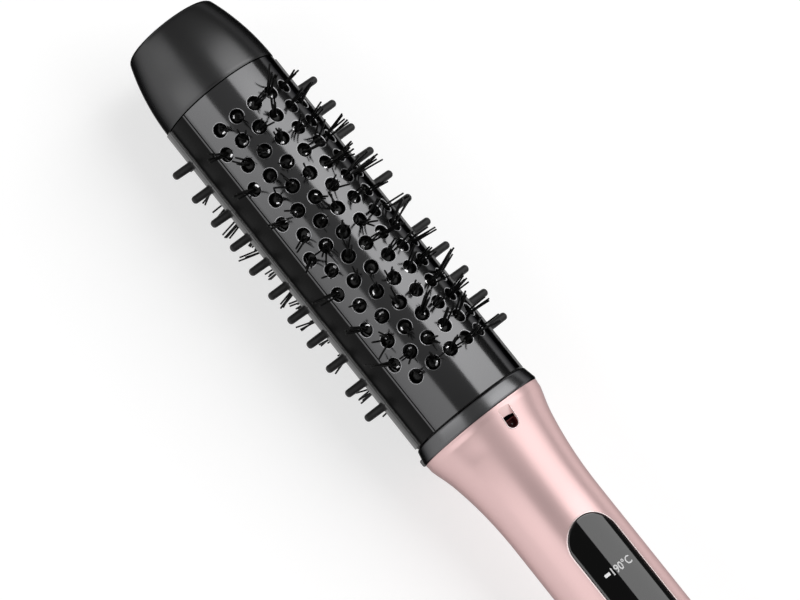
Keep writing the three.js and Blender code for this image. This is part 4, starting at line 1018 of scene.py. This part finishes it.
def lettering(words, size, squeeze, thick):
    curve = bpy.data.curves.new("words", "FONT")
    curve.body = words
    curve.size = size
    curve.align_x = "CENTER"
    curve.align_y = "CENTER"
    curve.offset = thick
    curve.resolution_u = 6
    thing = new_object("words", curve)
    bpy.context.view_layer.update()
    mesh = bpy.data.meshes.new_from_object(
        thing.evaluated_get(bpy.context.evaluated_depsgraph_get()))
    shape = new_shape()
    shape.from_mesh(mesh)
    bpy.data.objects.remove(thing)
    bpy.data.curves.remove(curve)
    bpy.data.meshes.remove(mesh)
    bmesh.ops.scale(shape, vec=(squeeze, 1, 1), verts=shape.verts)
    bmesh.ops.remove_doubles(shape, verts=shape.verts, dist=0.0005)
    return raise_faces(shape, shape.faces[:], (0, 0, 0.03))


def bar(width, height):
    thick = 0.04
    shape = new_shape()
    bmesh.ops.create_cube(shape, size=1.0)
    bmesh.ops.scale(shape, vec=(width, height, thick), verts=shape.verts)
    upright = [e for e in shape.edges if abs(e.verts[0].co.z - e.verts[1].co.z) > 0.01]
    ease(shape, upright, 0.1, 2)
    return moved(shape, by=(0, 0, 0.5 * thick))


def sign(kind):
    """The generic sign on a button: plus, minus, or a broken ring with a bar."""
    if kind == "power":
        shape = turned([(0.0, 1.25), (0.0, 1.6), (0.04, 1.6), (0.04, 1.25)], 40, closed=True,
                       axis=(0, 0, 1))
        gap = [f for f in shape.faces if f.calc_center_median().y > 0.9]
        bmesh.ops.delete(shape, geom=gap, context="FACES")
        bmesh.ops.holes_fill(shape, edges=[e for e in shape.edges if e.is_boundary], sides=0)
        return joined(shape, moved(bar(0.36, 1.3), by=(0, 1.15, 0)))
    shape = bar(2.4, 0.4)
    return joined(shape, bar(0.4, 2.4)) if kind == "plus" else shape


def on_window(y):
    return crown(y) - 0.005


def on_button(y):
    return WINDOW_FRONT + BUTTON_HEIGHT - 0.1


for x, words in PRINTS:
    tag = words[:3]
    flat_mark("print_" + tag, lettering(words, 4.05, 0.87, 0.055), x - 1.5, -1.1, on_window,
              "print_grey")
    # The lit bars glow by painted light: a plain white finish, no lamp.
    flat_mark("lit_bar_" + tag, bar(2.0, 1.15), x - 1.2, 4.65, on_window, "lit_white")
for kind, name in (("plus", "temp_up_button"), ("minus", "temp_down_button"),
                   ("power", "power_button")):
    x, _, _, body = BUTTONS[name]
    flat_mark("sign_" + kind, sign(kind), x, 0.0, on_button, "print_grey", body=body,
              slot="button_black")


# Ion nozzle and needle

def nozzle_shape():
    """The dark cup behind the opening."""
    cup = outlet_plan(OUTLET_STEP - 0.04, OUTLET_HALF - 0.06, OUTLET_FLOOR - 3.4,
                      OUTLET_FLOOR - 0.1)
    hollow = outlet_plan(OUTLET_STEP - 0.34, OUTLET_HALF - 0.36, OUTLET_FLOOR - 2.6,
                         OUTLET_FLOOR + 1.0)
    return cut(cup, hollow)


def needle_shape():
    profile = [(-2.6, 0.0), (-2.6, 0.42), (-1.2, 0.42), (-0.7, 0.26), (-0.45, 0.12), (-0.4, 0.0)]
    needle = turned([(OUTLET_FLOOR + z, r) for z, r in profile], 20, axis=(0, 0, 1))
    return moved(needle, by=(NEEDLE_X, OUTLET_Y, 0))


dress("ion_nozzle", nozzle_shape(), "nozzle_red")
dress("ion_needle", needle_shape(), "steel")


# End cap and cord gland

def end_cap_shape():
    corner = 2.5
    path = [(-150.3, 0.3, None), (-150.5, 0.08, None), (-150.8, 0.0, None), (-153.8, 0.0, None)]
    path += [(-153.8 - corner * math.sin(a), corner * (1 - math.cos(a)), None)
             for a in fan(0.5 * math.pi, 8)[1:]]
    path += [(-156.3, 0.0, 11.5), (-156.3, 0.0, 8.7), (-156.05, 0.0, 8.4), (-152.3, 0.0, 8.4),
             (-152.3, 0.0, 12.0), (-150.3, 2.6, None)]
    return lofted(path, 144)


def gland_shape():
    """The swivelling gland, with three ribs and a bore for the cord."""
    section = [(-143.9, 3.9), (-143.9, 10.3), (-145.6, 10.3), (-145.6, 8.0), (-157.2, 8.0)]
    for i in range(3):
        x, r = -158.2 - 2.1 * i, 7.9 - 0.32 * i
        section += [(x + 0.7, r), (x + 0.45, r - 0.55), (x - 0.25, r - 0.55), (x - 0.5, r - 0.05)]
    section += [(-165.2, 6.75), (-166.0, 6.5), (-166.3, 6.0), (-166.3, 4.4), (-166.0, 3.9)]
    return turned(section, 96, closed=True)


dress("end_cap", end_cap_shape(), "collar_grey", sharp=30.0)
dress("cord_swivel", gland_shape(), "swivel_black", body="swivel", sharp=40.0)


# CAD pieces

for subpart in frame["record"]["subparts"]:
    node = frame["nodes"][subpart["node"]]
    node.data.materials.clear()
    node.data.materials.append(FINISHES[subpart["material_slot"]])


# Floor, lamps, surroundings and camera. Sizes from here on are in metres.

FLOOR_COLOUR = (*grey(0.47), 1)
FLOOR_GLOW = 0.6
FLOOR_REACH = 3.0

# Each lamp: its angle from straight above, its width, and panels along the brush, each from,
# to and how bright. The panels give the barrel's two bands their changes of tone.
LAMPS = {
    "right": (-38.6, 1.12, ((-1.1, 0.055, 1.58), (0.055, 0.33, 3.15), (0.33, 0.62, 2.0))),
    "left": (64.5, 0.96, ((-1.1, -0.62, 1.7), (-0.3, 0.04, 1.42), (0.04, 0.26, 1.12),
                          (0.26, 0.37, 1.6), (0.37, 0.55, 2.1), (0.65, 1.3, 1.15))),
}
LAMP_DISTANCE = 1.0
LAMP_AXIS_HEIGHT = 0.03

# How bright the upper half of the surroundings is, by the direction along the brush
# (0 towards the handle's end, 1 towards the tip).
SKY_STEPS = ((0.36, 0.36), (0.45, 0.0), (0.515, 0.0), (0.538, 0.3))
SKY_BASE = 0.05

CAMERA_PLACE = (-0.06899, 0.35423, 1.03386)
CAMERA_LOOK = (0.10797, -0.33490, -0.93605)
CAMERA_RIGHT = (-0.620296896, -0.758486688, 0.199824303)
CAMERA_LENS = 141.07


def studio_floor():
    """A pale floor that is white where it is seen or mirrored, and keeps the brush's shadow."""
    shape = new_shape()
    bmesh.ops.create_grid(shape, x_segments=1, y_segments=1, size=FLOOR_REACH)
    floor = new_object("studio_floor", new_mesh("studio_floor", shape))
    paper = bpy.data.materials.new("paper")
    paper.use_nodes = True
    tree = paper.node_tree
    path = add_node(tree, "LightPath", {}).outputs
    seen = worked_out(tree, "ADD", path["Is Camera Ray"], path["Is Glossy Ray"])
    seen = worked_out(tree, "ADD", seen, path["Is Transmission Ray"], clamped=True)
    feed(tree, tree.nodes["Principled BSDF"], {
        "Base Color": FLOOR_COLOUR, "Roughness": 0.9, "Specular IOR Level": 0.1,
        "Emission Color": (1, 1, 1, 1),
        "Emission Strength": worked_out(tree, "MULTIPLY", seen, FLOOR_GLOW)})
    floor.data.materials.append(paper)


def softbox(name, angle, width, start, end, radiance):
    """A long soft lamp, parallel to the brush, at an angle from straight above towards +Y."""
    length = end - start
    lamp = bpy.data.lights.new(name, "AREA")
    lamp.shape = "RECTANGLE"
    lamp.size = length
    lamp.size_y = width
    lamp.energy = radiance * math.pi * width * length
    thing = new_object(name, lamp)
    arm = Vector((0, math.sin(angle), math.cos(angle)))
    across = Vector((0, math.cos(angle), -math.sin(angle)))
    thing.matrix_world = Matrix((
        (1, 0, 0, 0.5 * (start + end)), (0, -across.y, arm.y, arm.y * LAMP_DISTANCE),
        (0, -across.z, arm.z, arm.z * LAMP_DISTANCE + LAMP_AXIS_HEIGHT), (0, 0, 0, 1)))


def studio_sky():
    """Surroundings that are dim but for a soft glow above, which fades where the brush is seen."""
    world = bpy.data.worlds.new("studio")
    bpy.context.scene.world = world
    world.use_nodes = True
    tree = world.node_tree
    facing = add_node(tree, "TexCoord", {})
    parts = add_node(tree, "SeparateXYZ", {"Vector": facing.outputs["Generated"]}).outputs
    centred = worked_out(tree, "MULTIPLY_ADD", parts["X"], 0.5, 0.5)
    along = add_node(tree, "ValToRGB", {"Fac": centred})
    steps = along.color_ramp.elements
    for element, (spot, level) in zip(steps, (SKY_STEPS[0], SKY_STEPS[-1])):
        element.position = spot
        element.color = (*grey(level), 1)
    for spot, level in SKY_STEPS[1:-1]:
        steps.new(spot).color = (*grey(level), 1)
    glow = worked_out(tree, "MULTIPLY_ADD", parts["Z"], along.outputs["Color"], SKY_BASE,
                      clamped=True)
    feed(tree, tree.nodes["Background"], {"Color": (1, 1, 1, 1), "Strength": glow})


def studio_camera():
    """The camera from which the brush lies across the picture, its tip at the upper left."""
    camera = bpy.data.cameras.new("camera")
    camera.lens = CAMERA_LENS
    camera.sensor_width = 36.0
    eye = new_object("camera", camera)
    look = Vector(CAMERA_LOOK).normalized()
    right = Vector(CAMERA_RIGHT)
    up = right.cross(look).normalized()
    eye.matrix_world = Matrix((
        (right.x, up.x, -look.x, CAMERA_PLACE[0]), (right.y, up.y, -look.y, CAMERA_PLACE[1]),
        (right.z, up.z, -look.z, CAMERA_PLACE[2]), (0, 0, 0, 1)))
    bpy.context.scene.camera = eye


studio_floor()
for side, (angle, width, panels) in LAMPS.items():
    for start, end, radiance in panels:
        softbox(side + "_softbox", math.radians(angle), width, start, end, radiance)
studio_sky()
studio_camera()
bpy.context.scene.view_settings.view_transform = "Standard"
